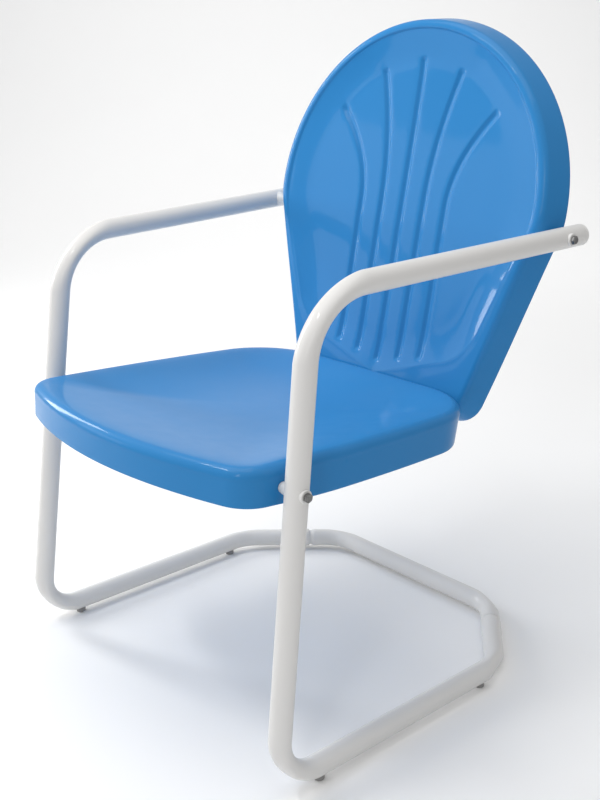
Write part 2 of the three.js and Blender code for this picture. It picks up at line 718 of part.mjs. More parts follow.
function springBendLine() {
  const legEnd = frontCorner.clone().addScaledVector(legDirection, frontReach - FIT / 2);
  const railEnd = frontCorner.clone().addScaledVector(railDirection, frontReach - FIT / 2);
  return bentLine([railEnd, frontCorner, legEnd], [FRONT_BEND - FIT]);
}

function floorRailLine() {
  const start = frontCorner.clone().addScaledVector(railDirection, frontReach + FIT / 2);
  return bentLine([start, railCorner, stubEnd], [REAR_BEND]);
}

function armAndLeg() {
  const holes = [seatBolt, armBolt].map((point) => boltHoleAt(point, TUBE.radius + OVERRUN));
  return cut(hollowTube(armAndLegLine()), holes);
}

function glidePlaces() {
  return [GLIDE_FRONT_Y, GLIDE_REAR_Y].map((y) => (
    frontCorner.clone().addScaledVector(railDirection, y / railDirection.y)));
}

function uprightCylinder(radius, fromZ, toZ, at) {
  const geometry = new THREE.CylinderGeometry(radius, radius, toZ - fromZ, SMALL_SIDES).rotateX(Math.PI / 2);
  return geometry.translate(at.x, at.y, at.z + (fromZ + toZ) / 2);
}

function screwPlace() {
  return stubEnd.clone().addScaledVector(stubDirection, -JOINT_SCREW.from_end);
}

function floorRail() {
  const stemHole = GLIDE.stem_radius + BOLT_CLEARANCE;
  const glideHoles = glidePlaces().map((at) => uprightCylinder(stemHole, -TUBE.radius - OVERRUN, 0, at));
  const screwHole = uprightCylinder(JOINT_SCREW.radius + FIT, -TUBE.radius - OVERRUN, 0, screwPlace());
  return cut(hollowTube(floorRailLine()), [...glideHoles, screwHole]);
}

// Push-in glide whose head is hollowed to sit on the round rail
function glide(at) {
  const bottom = -TUBE.radius - GLIDE.height;
  const head = [
    [0, bottom],
    [GLIDE.radius - GLIDE.chamfer, bottom],
    [GLIDE.radius, bottom + GLIDE.chamfer],
    [GLIDE.radius, -TUBE.radius / 2],
    [0, -TUBE.radius / 2],
  ];
  const outline = head.map(([r, y]) => new THREE.Vector2(r, y));
  const blank = new THREE.LatheGeometry(outline, SMALL_SIDES).rotateX(Math.PI / 2);
  const reach = GLIDE.radius + OVERRUN;
  const [before, after] = [-reach, reach].map((y) => railDirection.clone().multiplyScalar(y));
  const saddled = toSolid(cut(blank, [rod(straightLine(before, after), TUBE.radius + FIT)]));
  const stemFoot = -TUBE.radius - GLIDE.height / 2;
  const stem = uprightCylinder(GLIDE.stem_radius, stemFoot, -TUBE.radius + GLIDE.stem, new THREE.Vector3());
  return toGeometry(saddled.add(toSolid(stem))).translate(at.x, at.y, at.z);
}

// Rear cross tube with necked ends that slip into the side frames

function crossTube() {
  const tip = stubEnd.clone().addScaledVector(stubDirection, -SLIP.neck);
  const neckEnd = stubEnd.clone().addScaledVector(stubDirection, SLIP.gap);
  const shoulder = neckEnd.clone().addScaledVector(stubDirection, SLIP.taper);
  const flipX = (p) => p.clone().setX(-p.x);
  const bent = bentLine([shoulder, crossCorner, flipX(crossCorner), flipX(shoulder)], [REAR_BEND, REAR_BEND]);
  const leading = [tip, neckEnd].map((at) => ({ at, along: bent[0].along, squeeze: 0 }));
  const trailing = [flipX(neckEnd), flipX(tip)].map((at) => ({ at, along: bent.at(-1).along, squeeze: 0 }));
  const line = [...leading, ...bent, ...trailing];
  const radii = line.map((_, i) => (i < 2 || i > line.length - 3 ? PLUG_RADIUS : TUBE.radius));
  const hole = (at) => uprightCylinder(JOINT_SCREW.radius + FIT, -TUBE.radius, 0, at);
  return cut(hollowTube(line, radii), [hole(screwPlace()), hole(flipX(screwPlace()))]);
}

function jointScrew() {
  const { radius, head_radius: headRadius, head, length } = JOINT_SCREW;
  const screw = roundHeaded(headRadius, head, radius, length, radius).rotateX(Math.PI / 2);
  const at = screwPlace();
  return screw.translate(at.x, at.y, at.z - TUBE.radius - FIT);
}

// Domed plug pressed into the rear end of the arm
function armPlug() {
  const dome = Array.from({ length: PLUG_DOME_STEPS }, (_, k) => {
    const angle = ((Math.PI / 2) * k) / PLUG_DOME_STEPS;
    return [TUBE.radius * Math.cos(angle), FIT + PLUG.lip + PLUG.dome * Math.sin(angle)];
  });
  const profile = [
    [0, -PLUG.stem],
    [PLUG_RADIUS, -PLUG.stem],
    [PLUG_RADIUS, FIT],
    [TUBE.radius, FIT],
    ...dome,
    [0, FIT + PLUG.lip + PLUG.dome],
  ];
  const plug = new THREE.LatheGeometry(profile.map(([r, y]) => new THREE.Vector2(r, y)), SMALL_SIDES);
  plug.applyQuaternion(new THREE.Quaternion().setFromUnitVectors(new THREE.Vector3(0, 1, 0), armDirection));
  return plug.translate(armEnd.x, armEnd.y, armEnd.z);
}

// Bolt sets through the tubes, made about the bolt's own point on the tube's centre line

// Bores a round body for the bolt and hollows it to sit on the tube that runs along the given direction
function saddled(body, along) {
  const reach = TUBE.radius * 3;
  const [before, after] = [-reach, reach].map((s) => along.clone().multiplyScalar(s));
  const hole = cylinderX(BOLT.radius + FIT, -reach, reach);
  return cut(body, [rod(straightLine(before, after), TUBE.radius + FIT), hole]);
}

function headWasher(along) {
  return saddled(cylinderX(WASHER.radius, TUBE.radius / 2, TUBE.radius + FIT + WASHER.height), along);
}

function hexBolt(length) {
  const seatX = TUBE.radius + WASHER.height + FIT * 2;
  const head = toSolid(cylinderX(hexRadius(BOLT.head_flats), seatX, seatX + BOLT.head, 6));
  const shank = toSolid(cylinderX(BOLT.radius, seatX - length, seatX + BOLT.head / 2));
  return toGeometry(head.add(shank));
}

function boltSet(point, along, spacerRadius, spacerLength, wallReach) {
  const wallX = -TUBE.radius - spacerLength;
  const nutX = wallX - wallReach - FIT;
  const shank = TUBE.radius + WASHER.height + FIT * 2 - (nutX - NUT.height - BOLT.tail);
  const spacer = coneX(SPACER.wall_radius, spacerRadius, wallX + FIT, -TUBE.radius / 2);
  const pieces = {
    bolt: hexBolt(shank),
    washer: headWasher(along),
    spacer: saddled(spacer, along),
    nut: hexNut().translate(nutX - NUT.height, 0, 0),
  };
  for (const piece of Object.values(pieces)) piece.translate(point.x, point.y, point.z);
  return pieces;
}

// The drafted flange leans away from the bolt, so the nut stands clear of its leaning inner face
const armWallReach = SHEET / Math.cos(BACK.draft) + Math.tan(BACK.draft) * hexRadius(NUT.flats);
const armSpacerCut = Math.tan(BACK.draft) * SPACER.wall_radius;

const chair = new THREE.Group();
const construction = new THREE.Group();
chair.add(construction);

function addPiece(name, geometry, material) {
  const mesh = new THREE.Mesh(geometry, material);
  mesh.name = name;
  construction.add(mesh);
}

function addPair(name, geometry, makeMaterial) {
  addPiece(`${name}_left`, geometry, makeMaterial());
  addPiece(`${name}_right`, mirrored(geometry), makeMaterial());
}

addPair("arm_and_leg", armAndLeg(), whitePaint);
addPair("spring_bend", hollowTube(springBendLine()), whitePaint);
addPair("floor_rail", floorRail(), whitePaint);
addPair("joint_screw", jointScrew(), zinc);
addPair("arm_plug", armPlug(), whitePlastic);
glidePlaces().forEach((at, i) => addPair(["glide_front", "glide_rear"][i], glide(at), greyPlastic));
addPiece("rear_cross_tube", crossTube(), whitePaint());
addPiece("seat_pan", seatPan(), bluePaint());
addPiece("back_shell", backShell(), bluePaint());

const seatSet = boltSet(seatBolt, legDirection, SPACER.seat_radius, SPACER.seat_length, SHEET);
const armSpacerLength = SPACER.arm_length - armSpacerCut;
const armNutReach = armWallReach + armSpacerCut;
const armSet = boltSet(armBolt, armDirection, SPACER.arm_radius, armSpacerLength, armNutReach);
for (const [place, set] of [["seat", seatSet], ["arm", armSet]]) {
  addPair(`${place}_bolt`, set.bolt, zinc);
  addPair(`${place}_washer`, set.washer, whitePlastic);
  addPair(`${place}_spacer`, set.spacer, whitePlastic);
  addPair(`${place}_nut`, set.nut, zinc);
}

joiningPlaces().forEach((point, i) => {
  addPiece(`joining_bolt_${i + 1}`, joiningBolt(point), zinc());
  addPiece(`joining_nut_${i + 1}`, joiningNut(point), zinc());
});

// The origin is the middle of the chair's footprint box, on the floor
const extent = new THREE.Box3().setFromObject(construction);
construction.position.set(0, -(extent.min.y + extent.max.y) / 2, -extent.min.z);

export default chair;
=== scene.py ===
# Metal lawn chair: a pressed steel seat and back on a springy frame of bent tube

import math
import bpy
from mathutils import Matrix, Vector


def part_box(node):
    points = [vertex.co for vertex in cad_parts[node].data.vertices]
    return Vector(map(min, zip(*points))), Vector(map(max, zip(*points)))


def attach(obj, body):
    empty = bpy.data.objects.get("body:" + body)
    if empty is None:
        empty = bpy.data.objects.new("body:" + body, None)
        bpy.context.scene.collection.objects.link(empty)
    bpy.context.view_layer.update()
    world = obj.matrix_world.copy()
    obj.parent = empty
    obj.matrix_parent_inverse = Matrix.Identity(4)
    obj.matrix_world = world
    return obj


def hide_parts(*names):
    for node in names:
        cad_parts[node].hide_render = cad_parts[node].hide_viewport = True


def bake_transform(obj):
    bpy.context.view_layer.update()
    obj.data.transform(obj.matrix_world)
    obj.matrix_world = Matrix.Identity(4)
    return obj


bl_info = {
    "name": "Metal Lawn Chair",
    "version": (1, 0, 0),
    "blender": (4, 5, 0),
    "location": "View3D > Sidebar > Lawn Chair",
    "description": "Builds the tubes, pressed seat and back, fittings and studio of a metal lawn chair",
    "category": "Add Mesh",
}

from bisect import bisect
from collections import namedtuple

import bmesh
import bpy
from mathutils import Vector
from mathutils.geometry import delaunay_2d_cdt

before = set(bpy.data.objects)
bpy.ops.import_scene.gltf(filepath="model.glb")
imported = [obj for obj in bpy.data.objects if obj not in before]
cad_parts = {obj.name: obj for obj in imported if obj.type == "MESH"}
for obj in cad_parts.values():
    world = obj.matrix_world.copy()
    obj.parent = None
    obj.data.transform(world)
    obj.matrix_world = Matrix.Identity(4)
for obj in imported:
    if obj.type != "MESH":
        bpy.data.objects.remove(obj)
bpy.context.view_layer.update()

MILLIMETRE = 0.001
SIDES = {"left": 1, "right": -1}


# Properties


def length(name, description, millimetres):
    """A length in the scene's units, written in millimetres"""
    return bpy.props.FloatProperty(
        name=name, description=description, default=millimetres * MILLIMETRE, unit="LENGTH", precision=4)


def angle(name, description, degrees):
    """An angle, written in degrees"""
    return bpy.props.FloatProperty(
        name=name, description=description, default=math.radians(degrees), unit="ROTATION")


def factor(name, description, share):
    """A plain number"""
    return bpy.props.FloatProperty(name=name, description=description, default=share)


def count(name, description, number):
    """A whole number of steps, sides or pieces"""
    return bpy.props.IntProperty(name=name, description=description, default=number, min=1)


def colour(name, description, rgb):
    """A colour in linear light"""
    return bpy.props.FloatVectorProperty(
        name=name, description=description, default=(*rgb, 1.0), size=4, subtype="COLOR", min=0, max=1)


class TubeSizes(bpy.types.PropertyGroup):
    """Bent steel tube of the frame"""

    radius: length("Tube radius", "Outer radius of the frame's tube", 14)
    wall: length("Tube wall", "Wall thickness of the tube", 1.5)
    lip: length("Edge break", "Rounding at a cut end of the tube", 0.7)
    front_bend: length("Front bend", "Centre-line radius of the springy bend at the floor", 52)
    arm_bend: length("Arm bend", "Centre-line radius where the leg turns into the arm", 88)
    rear_bend: length("Rear bend", "Centre-line radius of the bends behind the chair", 65)
    flattening: factor("Flattening", "Share of its radius that a bend loses on its outside", 0.4)
    leg_lean: angle("Leg lean", "How far the leg leans back", 6.8)
    leg_toe_in: angle("Leg toe-in", "How far the leg leans inwards", 1.92)
    leg_length: length("Leg length", "From the floor rail's axis to the arm's axis", 575)
    arm_rise: angle("Arm rise", "How far the arm climbs to the rear", 2.43)
    arm_splay: angle("Arm splay", "How far the arm turns outwards", 3.56)
    arm_past_bolt: length("Arm overhang", "Arm behind its bolt", 33)
    rail_splay: angle("Rail splay", "How far the floor rail turns outwards", 0.6)
    rail_length: length("Rail length", "From the front corner to the rear corner", 398.5)
    stub_angle: angle("Stub angle", "How far the rail's rear stub turns inwards", 41)
    stub_to_joint: length("Stub to joint", "From the rear corner to the end of the socket", 116)
    stub_to_cross: length("Stub to cross tube", "From the rear corner to the cross tube's corner", 172)
    socket_length: length("Socket length", "Stretch of the stub that is opened out to take the neck", 32)
    socket_ramp: length("Socket ramp", "Stretch over which the socket opens out", 7)
    socket_swell: factor("Socket swell", "How much wider the socket is than the tube", 1.045)
    neck: length("Neck", "Necked end inside the socket", 40)
    neck_gap: length("Neck gap", "Neck that shows between the socket and the shoulder", 4)
    neck_taper: length("Neck taper", "Stretch from the neck to the full tube", 6)
    neck_bulge: factor("Neck bulge", "Slight bulge that necking leaves behind the taper", 1.018)
    sides: count("Sides", "Facets round the tube", 72)
    bend_steps: count("Bend steps", "Steps in a right-angled bend", 30)


class SheetSizes(bpy.types.PropertyGroup):
    """Pressed steel sheet"""

    thickness: length("Sheet", "Thickness of the pressed sheet", 1.5)
    hem: length("Hem", "Outer radius of the curled edge", 1.7)
    gap: length("Gap", "Space left between pieces that touch", 0.3)


class SeatSizes(bpy.types.PropertyGroup):
    """Pressed seat pan, measured from its crest above the seat bolts"""

    width: length("Seat width", "Widest place of the seat", 477)
    bolt_to_front: length("Bolt to front", "From the seat bolts to the front of the seat", 94)
    depth: length("Seat depth", "Front to rear", 478)
    bolt_below_crest: length("Bolt below crest", "How far the bolts sit below the crest", 27)
    pitch: angle("Seat pitch", "How far the seat falls to the rear", 2.3)
    front_bow: length("Front bow", "Radius of the bowed front", 660)
    side_bow: length("Side bow", "Radius of the bowed sides", 2600)
    widest_at: length("Widest place", "How far behind the bolts the seat is widest", 60)
    front_corner: length("Front corner", "Radius of the front corners", 42)
    rear_corner: length("Rear corner", "Radius of the rear corners", 108)
    roll: length("Roll", "Radius of the rolled edge", 12)
    dish: length("Dish", "How deep the seat is dished", 22)
    dish_power: factor("Dish power", "How far out the dish stays flat", 3)
    dish_spread: factor("Dish spread", "How softly the dish meets the roll", 1.5)
    skirt_front: length("Front skirt", "Depth of the skirt at the front", 45)
    skirt_side: length("Side skirt", "Depth of the skirt at the sides", 51)
    skirt_rear: length("Rear skirt", "Depth of the skirt at the rear", 31)
    bead_below: length("Bead place", "How far below the crest the skirt's bead runs", 15)
    bead: length("Bead", "How far the bead below the roll stands in", 0.25)


class BackSizes(bpy.types.PropertyGroup):
    """Pressed back: x across, h up the reclined sheet, d forwards of the flat"""

    recline: angle("Recline", "How far the back leans back", 11.3)
    foot_below_rim: length("Foot below rim", "How far the back reaches below the seat's rear rim", 47)
    height: length("Back height", "Foot to crown along the sheet", 564)
    crown: length("Crown rise", "From the widest place to the top", 249)
    crown_power: factor("Crown power", "2 is an ellipse, more is squarer", 2)
    haunch: length("Haunch", "Half height of the ellipse below the widest place", 155)
    foot_corner_share: factor("Foot corner", "Foot corner as a share of the half width", 0.644)
    foot_height: length("Foot height", "Height of the foot line", 20)
    foot_radius: length("Foot radius", "Radius of the foot corners", 36)
    roll: length("Roll", "Radius of the folded edge", 10)
    flange: length("Flange", "Depth of the flange behind the fold", 35)
    draft: angle("Draft", "How far the flange opens outwards", 14)
    dish: length("Dish", "How far the edge stands forwards of the panel", 14)
    apron: length("Apron", "How far the foot stands forwards", 6)
    margin: length("Margin", "From the folded edge to the panel", 19)
    crown_margin: length("Crown margin", "From the folded edge to the panel at the crown", 15)
    panel_corner_share: factor("Panel corner", "Panel corner as a share of the half width", 0.644)
    panel_corner_height: length("Panel corner height", "Height of the panel's lower corners", 107)
    panel_corner_radius: length("Panel corner radius", "Radius of the panel's lower corners", 90)
    keel_height: length("Keel height", "Height of the panel's lowest point", 54)
    ledge: length("Ledge", "Width of the ledge round the panel", 7)
    ledge_step: length("Ledge step", "How far the panel's rim stands back from the edge", 2.6)
    foot_ledge: length("Foot ledge", "Width of the ledge at the panel's foot", 24)
    foot_ledge_step: length("Foot ledge step", "How far the rim stands back at the panel's foot", 0.8)
    ledge_from: length("Ledge from", "Height where the ledge starts to narrow and deepen", 205)
    lining: length("Lining", "How far inside the panel's rim the finer mesh reaches", 5)
    foot_lining: length("Foot lining", "The same at the panel's foot", 1.5)
    step: length("Step", "How far the dish inside stands back from the edge", 4)
    rise: length("Rim rise", "Stretch over which the panel rises to its rim", 50)
    crown_dish_power: factor("Crown dish power", "How late the panel curves forwards at the top", 6)
    joining_below_crest: length("Joining bolts", "How far below the crest those bolts sit", 23)
    grain: length("Panel mesh", "Size of the facets on the panel", 7)


class RibSizes(bpy.types.PropertyGroup):
    """Five pressed grooves that fan out like the ribs of a shell"""

    width: length("Rib width", "Width of a groove", 12)
    depth: length("Rib depth", "Depth of a groove", 3)
    spacing: length("Rib spacing", "Between neighbouring ribs at the foot", 41)
    foot: length("Rib foot", "Height of the middle rib's foot", 70)
    foot_step: length("Foot step", "How much higher each next rib starts", 9)
    fan_start: length("Fan start", "Height where the ribs start to fan out", 305)
    end: length("Rib end", "Stretch over which a groove runs out", 7)
    end_power: factor("End power", "2 is a round end, more is blunter", 3.4)
    step: length("Rib mesh", "Step along a groove", 4)


class FittingSizes(bpy.types.PropertyGroup):
    """Bolts, nuts, washers, spacers, glides, screws and plugs"""

    bolt_radius: length("Bolt radius", "Radius of the bolts", 3)
    flats: length("Across flats", "Bolt heads and nuts across their flats", 10)
    chamfer: angle("Chamfer", "Slope of the chamfer round a bolt head or nut", 30)
    nut_height: length("Nut height", "Height of the joining nuts", 5)
    nut_collar: length("Nut collar", "Height of the locking collar on a nut", 1.4)
    thread_pitch: length("Thread pitch", "Step of the thread", 1)
    thread_depth: length("Thread depth", "Depth of the thread", 0.35)
    washer_radius: length("Washer radius", "Radius of the washers", 8)
    spacer_wall_radius: length("Spacer wall radius", "Radius of the spacers at the sheet", 6.5)
    seat_spacer_radius: length("Seat spacer radius", "Radius of the seat's spacers at the tube", 9.5)
    arm_spacer_radius: length("Arm spacer radius", "Radius of the arms' spacers at the tube", 12)
    edge: length("Moulded edge", "Rounding of washers, spacers and plugs", 0.8)
    round_head: length("Round head", "Head radius of the joining bolts", 6)
    round_head_height: length("Round head height", "Head height of the joining bolts", 2.5)
    screw_head: length("Screw head", "Head radius of the joint screws", 4)
    screw_head_height: length("Screw head height", "Head height of the joint screws", 2)
    screw_radius: length("Screw radius", "Radius of the joint screws", 2)
    plug_lip: length("Plug lip", "Straight rim of an arm plug", 2)
    plug_dome: length("Plug dome", "Rise of an arm plug's dome", 6)
    glide_radius: length("Glide radius", "Radius of a glide's head", 7)
    glide_edge: length("Glide edge", "Bevel round a glide's foot", 1.5)
    sides: count("Sides", "Facets round a fitting", 48)


class FinishColours(bpy.types.PropertyGroup):
    """Paint, metal and plastic colours"""

    seat_blue: colour("Seat blue", "Enamel of the seat and the back", (0.026, 0.216, 0.515))
    frame_white: colour("Frame white", "Enamel of the tubes", (0.73, 0.72, 0.705))
    zinc: colour("Zinc", "Plated bolts, nuts and screws", (0.19, 0.187, 0.183))
    moulded_white: colour("Moulded white", "Washers, spacers and plugs", (0.73, 0.725, 0.71))
    moulded_grey: colour("Moulded grey", "Floor glides", (0.27, 0.265, 0.26))
    dust: colour("Dust", "Dust on what faces up", (0.62, 0.60, 0.57))
    floor: colour("Floor", "Studio floor and background", (0.93, 0.93, 0.93))


class StudioSettings(bpy.types.PropertyGroup):
    """Camera, floor and lights"""

    eye: bpy.props.FloatVectorProperty(
        name="Eye", description="Where the camera stands", default=(1.0601, -0.9247, 0.8241),
        subtype="XYZ", unit="LENGTH")
    heading: angle("Heading", "Turn of the camera about the vertical", 48.07)
    fall: angle("Fall", "How far the camera looks down", 17.783)
    lens: factor("Lens", "Focal length for the long side of the frame, in millimetres", 47.58)
    floor_span: length("Floor span", "Width of the studio floor", 24000)
    floor_depth: length("Floor depth", "From the chair to where the floor curves up", 3500)
    cove: length("Cove", "Radius of the curve from the floor to the wall", 2500)
    wall_height: length("Wall height", "Height of the straight wall above the curve", 6000)
    sky: factor("Sky", "Strength of the even studio light", 0.46)


def chair(group):
    """One group of the chair's sizes, colours or settings"""
    return getattr(bpy.context.scene, "chair_" + group)


# Shares of a length

DISH_RING_SHARES = [0.06, 0.14, 0.24, 0.34, 0.44, 0.54, 0.63, 0.71, 0.78, 0.84, 0.89, 0.93, 0.965, 1]
SKIRT_SHARES = [0.04, 0.08, 0.12, 0.17, 0.23, 0.4, 0.7, 0.9, 1]
BEAD_FADE_SHARES = (0.4, 0.9)
FLANGE_SHARES = [0.2, 0.5, 0.8, 1]
SHOULDER_SHARES = (2, 1.4)  # of the neck's taper, where its bulge starts and where it is highest
RIB_TOP_SHARES = [0.91, 0.88, 0.782]
RIB_FAN_SHARES = [0, 0.8, 1.62]
RIB_LOOP_SHARES = [1.26, 1.14, 1.0, 0.86, 0.72, 0.57, 0.4, 0.2]
RIB_WALL_SHARES = (0, 1.3)
LEDGE_SHARE = 0.62
LEDGE_LOOP_SHARES = [-1, -0.4, 0, 0.15, 0.3, 0.45, 0.6, 0.8, 1]  # below zero of the lining
HEAD_FACE_SHARE = 0.95
HEAD_DISH_SHARE = 0.62
SADDLE_RING_SHARES = [1, 0.8, 0.6, 0.4, 0.2]
CROSS_REACH_SHARE = 0.45
CROSS_ARM_SHARE = 0.32
CROSS_RING_SHARES = [(0.6, 0.6), (0.95, 0.5)]  # radius of the recess, depth of the head
CROSS_BROW_SHARE = 1.1

# Steps of the meshes, and rounds that home in on a place

SEAT_STEPS = {"front": 60, "corner": 16, "side": 40, "rear": 12, "roll": 12}
BACK_STEPS = {"foot": 30, "corner": 12, "side": 18, "haunch": 16, "crown": 84, "roll": 12}
HEM_STEPS = 7
LIP_STEPS = 3
RAMP_STEPS = 4
NECK_STEPS = 6
RIB_CAP_STEPS = 8
PAD_EDGE_STEPS = 4
DOME_STEPS = 8
COVE_STEPS = 24
RIB_ROUNDS = 3
PAD_ROUNDS = 4

# Tolerances, creases, finishes and directions

SAME_VERTEX = MILLIMETRE / 100
SAME_PLACE = MILLIMETRE / 10
SAME_CROSSING = MILLIMETRE / 1000
FIT_SLACK = 1.5 * MILLIMETRE
CROWN_SLACK = 6 * MILLIMETRE
SHEET_CREASE = math.radians(50)
FITTING_CREASE = math.radians(35)
DOME_POWER = 0.7
ENAMEL_SHEEN = {"Specular IOR Level": 0.03, "Coat Weight": 0.3, "Coat Roughness": 0.06}
ZINC_ROUGHNESS = 0.2
ZINC_TARNISH = 0.25
FLOOR_ROUGHNESS = 0.85
OUTWARDS = Vector((1, 0, 0))
UP = Vector((0, 0, 1))


# Node trees

FIRST_COLOUR, SECOND_COLOUR, MIXED_COLOUR = 6, 7, 2  # numbers of the mix node's colour sockets
NODE_SPACING = 190


def made_once(family, name):
    """Runs a function, which takes the name, only where the file has nothing under that name"""
    def decorate(make):
        def find():
            return getattr(bpy.data, family).get(name) or make(name)
        return find
    return decorate


def add_node(tree, kind, inputs=None, **settings):
    """The outputs of a new node, whose inputs, by name or number, take a value or an output"""
    node = tree.nodes.new(kind)
    for name, value in settings.items():
        setattr(node, name, value)
    for key, value in (inputs or {}).items():
        if isinstance(value, bpy.types.NodeSocket):
            tree.links.new(value, node.inputs[key])
        else:
            node.inputs[key].default_value = value
    node.location = (len(tree.nodes) * NODE_SPACING, 0)
    return node.outputs


def new_tree(name, kind, inputs, outputs):
    """A node group, the values that come in and the sockets that they leave by, all by name"""
    tree = bpy.data.node_groups.new(name, kind)
    for way, sockets in (("INPUT", inputs), ("OUTPUT", outputs)):
        for label, data_type in sockets.items():
            tree.interface.new_socket(name=label, in_out=way, socket_type="NodeSocket" + data_type)
    return tree, tree.nodes.new("NodeGroupInput").outputs, tree.nodes.new("NodeGroupOutput").inputs


def maths(tree, operation, first, second=0.0):
    """The result of one sum on two numbers"""
    return add_node(tree, "ShaderNodeMath", {0: first, 1: second}, operation=operation)[0]


def vector_maths(tree, operation, first, second):
    """The result of one sum on two vectors, or of scaling a vector by a number"""
    key = "Scale" if operation == "SCALE" else 1
    results = add_node(tree, "ShaderNodeVectorMath", {0: first, key: second}, operation=operation)
    return results["Value" if operation == "DOT_PRODUCT" else "Vector"]


def carried(tree, name, data_type="FLOAT"):
    """A value that each point of the geometry carries under that name"""
    values = add_node(tree, "GeometryNodeInputNamedAttribute", {"Name": name}, data_type=data_type)
    return values["Attribute"]


def finish_geometry(tree, geometry, material, output):
    """The last nodes of every geometry tree: smooth, real and painted"""
    smooth = add_node(tree, "GeometryNodeSetShadeSmooth", {"Geometry": geometry})[0]
    real = add_node(tree, "GeometryNodeRealizeInstances", {"Geometry": smooth})[0]
    painted = add_node(tree, "GeometryNodeSetMaterial", {"Geometry": real, "Material": material})[0]
    tree.links.new(painted, output[0])


@made_once("node_groups", "Bent tube")
def tube_tree(name):
    """Bent tube: a circle swept along a centre line, flattened on the outside of its bends"""
    inputs = {
        "Centre line": "Geometry",
        "Radius": "Float",
        "Sides": "Int",
        "Flattening": "Float",
        "Material": "Material",
    }
    tree, entry, output = new_tree(name, "GeometryNodeTree", inputs, {"Tube": "Geometry"})
    curve = add_node(tree, "GeometryNodeMeshToCurve", {"Mesh": entry["Centre line"]})[0]
    sides = {"Resolution": entry["Sides"], "Radius": 1.0}
    profile = add_node(tree, "GeometryNodeCurvePrimitiveCircle", sides)[0]
    radius = maths(tree, "MULTIPLY", carried(tree, "thickness"), entry["Radius"])
    sweep_inputs = {"Curve": curve, "Profile Curve": profile, "Scale": radius, "Fill Caps": True}
    swept = add_node(tree, "GeometryNodeCurveToMesh", sweep_inputs)[0]
    outward = carried(tree, "outward", "FLOAT_VECTOR")
    position = add_node(tree, "GeometryNodeInputPosition")[0]
    spoke = vector_maths(tree, "SUBTRACT", position, carried(tree, "at", "FLOAT_VECTOR"))
    outside = maths(tree, "MAXIMUM", vector_maths(tree, "DOT_PRODUCT", spoke, outward))
    share = maths(tree, "MULTIPLY", carried(tree, "squeeze"), entry["Flattening"])
    inwards = maths(tree, "MULTIPLY", maths(tree, "MULTIPLY", outside, share), -1.0)
    shift = vector_maths(tree, "SCALE", outward, inwards)
    flattened = add_node(tree, "GeometryNodeSetPosition", {"Geometry": swept, "Offset": shift})[0]
    finish_geometry(tree, flattened, entry["Material"], output)
    return tree


@made_once("node_groups", "Set fittings")
def fitting_tree(name):
    """Fittings: one shape at every point, turned to face and lie along the point's two directions"""
    inputs = {"Places": "Geometry", "Shape": "Object", "Material": "Material"}
    tree, entry, output = new_tree(name, "GeometryNodeTree", inputs, {"Fittings": "Geometry"})
    shape = add_node(tree, "GeometryNodeObjectInfo", {"Object": entry["Shape"]})["Geometry"]
    facing = {"Vector": carried(tree, "facing", "FLOAT_VECTOR")}
    upright = add_node(tree, "FunctionNodeAlignRotationToVector", facing, axis="Z")[0]
    lying = {"Rotation": upright, "Vector": carried(tree, "along", "FLOAT_VECTOR")}
    turned = add_node(tree, "FunctionNodeAlignRotationToVector", lying, axis="X", pivot_axis="Z")[0]
    instances = {"Points": entry["Places"], "Instance": shape, "Rotation": turned}
    placed = add_node(tree, "GeometryNodeInstanceOnPoints", instances)[0]
    finish_geometry(tree, placed, entry["Material"], output)
    return tree


# Meshes


def link_mesh(name, mesh):
    """An object at the origin that holds the mesh"""
    piece = bpy.data.objects.new(name, mesh)
    bpy.context.scene.collection.objects.link(piece)
    return piece


def mesh_object(name, vertices, faces=(), edges=()):
    """An object from plain lists of points and faces"""
    mesh = bpy.data.meshes.new(name)
    mesh.from_pydata([tuple(v) for v in vertices], list(edges), list(faces))
    mesh.update()
    return link_mesh(name, mesh)


def station_object(name, stations, edges=()):
    """Points that carry every field of their stations, for a node tree to read"""
    source = mesh_object(name, [station.at for station in stations], edges=edges)
    for field in stations[0]._fields:
        values = [getattr(station, field) for station in stations]
        kind, key = ("FLOAT_VECTOR", "vector") if isinstance(values[0], Vector) else ("FLOAT", "value")
        attribute = source.data.attributes.new(field, kind, "POINT")
        for item, value in zip(attribute.data, values):
            setattr(item, key, value)
    return source


def plain_piece(name, source):
    """Replaces an object with modifiers by its finished mesh"""
    graph = bpy.context.evaluated_depsgraph_get()
    mesh = bpy.data.meshes.new_from_object(source.evaluated_get(graph), depsgraph=graph)
    bpy.data.objects.remove(source)
    for field in Station._fields + Fitting._fields:
        if field in mesh.attributes:
            mesh.attributes.remove(mesh.attributes[field])
    mesh.name = name
    return link_mesh(name, mesh)


def run_tree(name, source, tree, values):
    """Runs a geometry tree on an object, with its inputs by name, and keeps the plain result"""
    modifier = source.modifiers.new("Build", "NODES")
    modifier.node_group = tree
    for item in tree.interface.items_tree:
        if item.item_type == "SOCKET" and item.in_out == "INPUT" and item.name in values:
            modifier[item.identifier] = values[item.name]
    return plain_piece(name, source)


def face_outwards(piece):
    """Merges doubles and turns every face of a closed mesh outwards"""
    shape = bmesh.new()
    shape.from_mesh(piece.data)
    bmesh.ops.remove_doubles(shape, verts=shape.verts, dist=SAME_VERTEX)
    bmesh.ops.recalc_face_normals(shape, faces=shape.faces)
    shape.to_mesh(piece.data)
    shape.free()


def shade(piece, crease):
    """Smooth shading, with edges sharper than the crease angle kept crisp"""
    piece.data.shade_smooth()
    piece.data.set_sharp_from_angle(angle=crease)


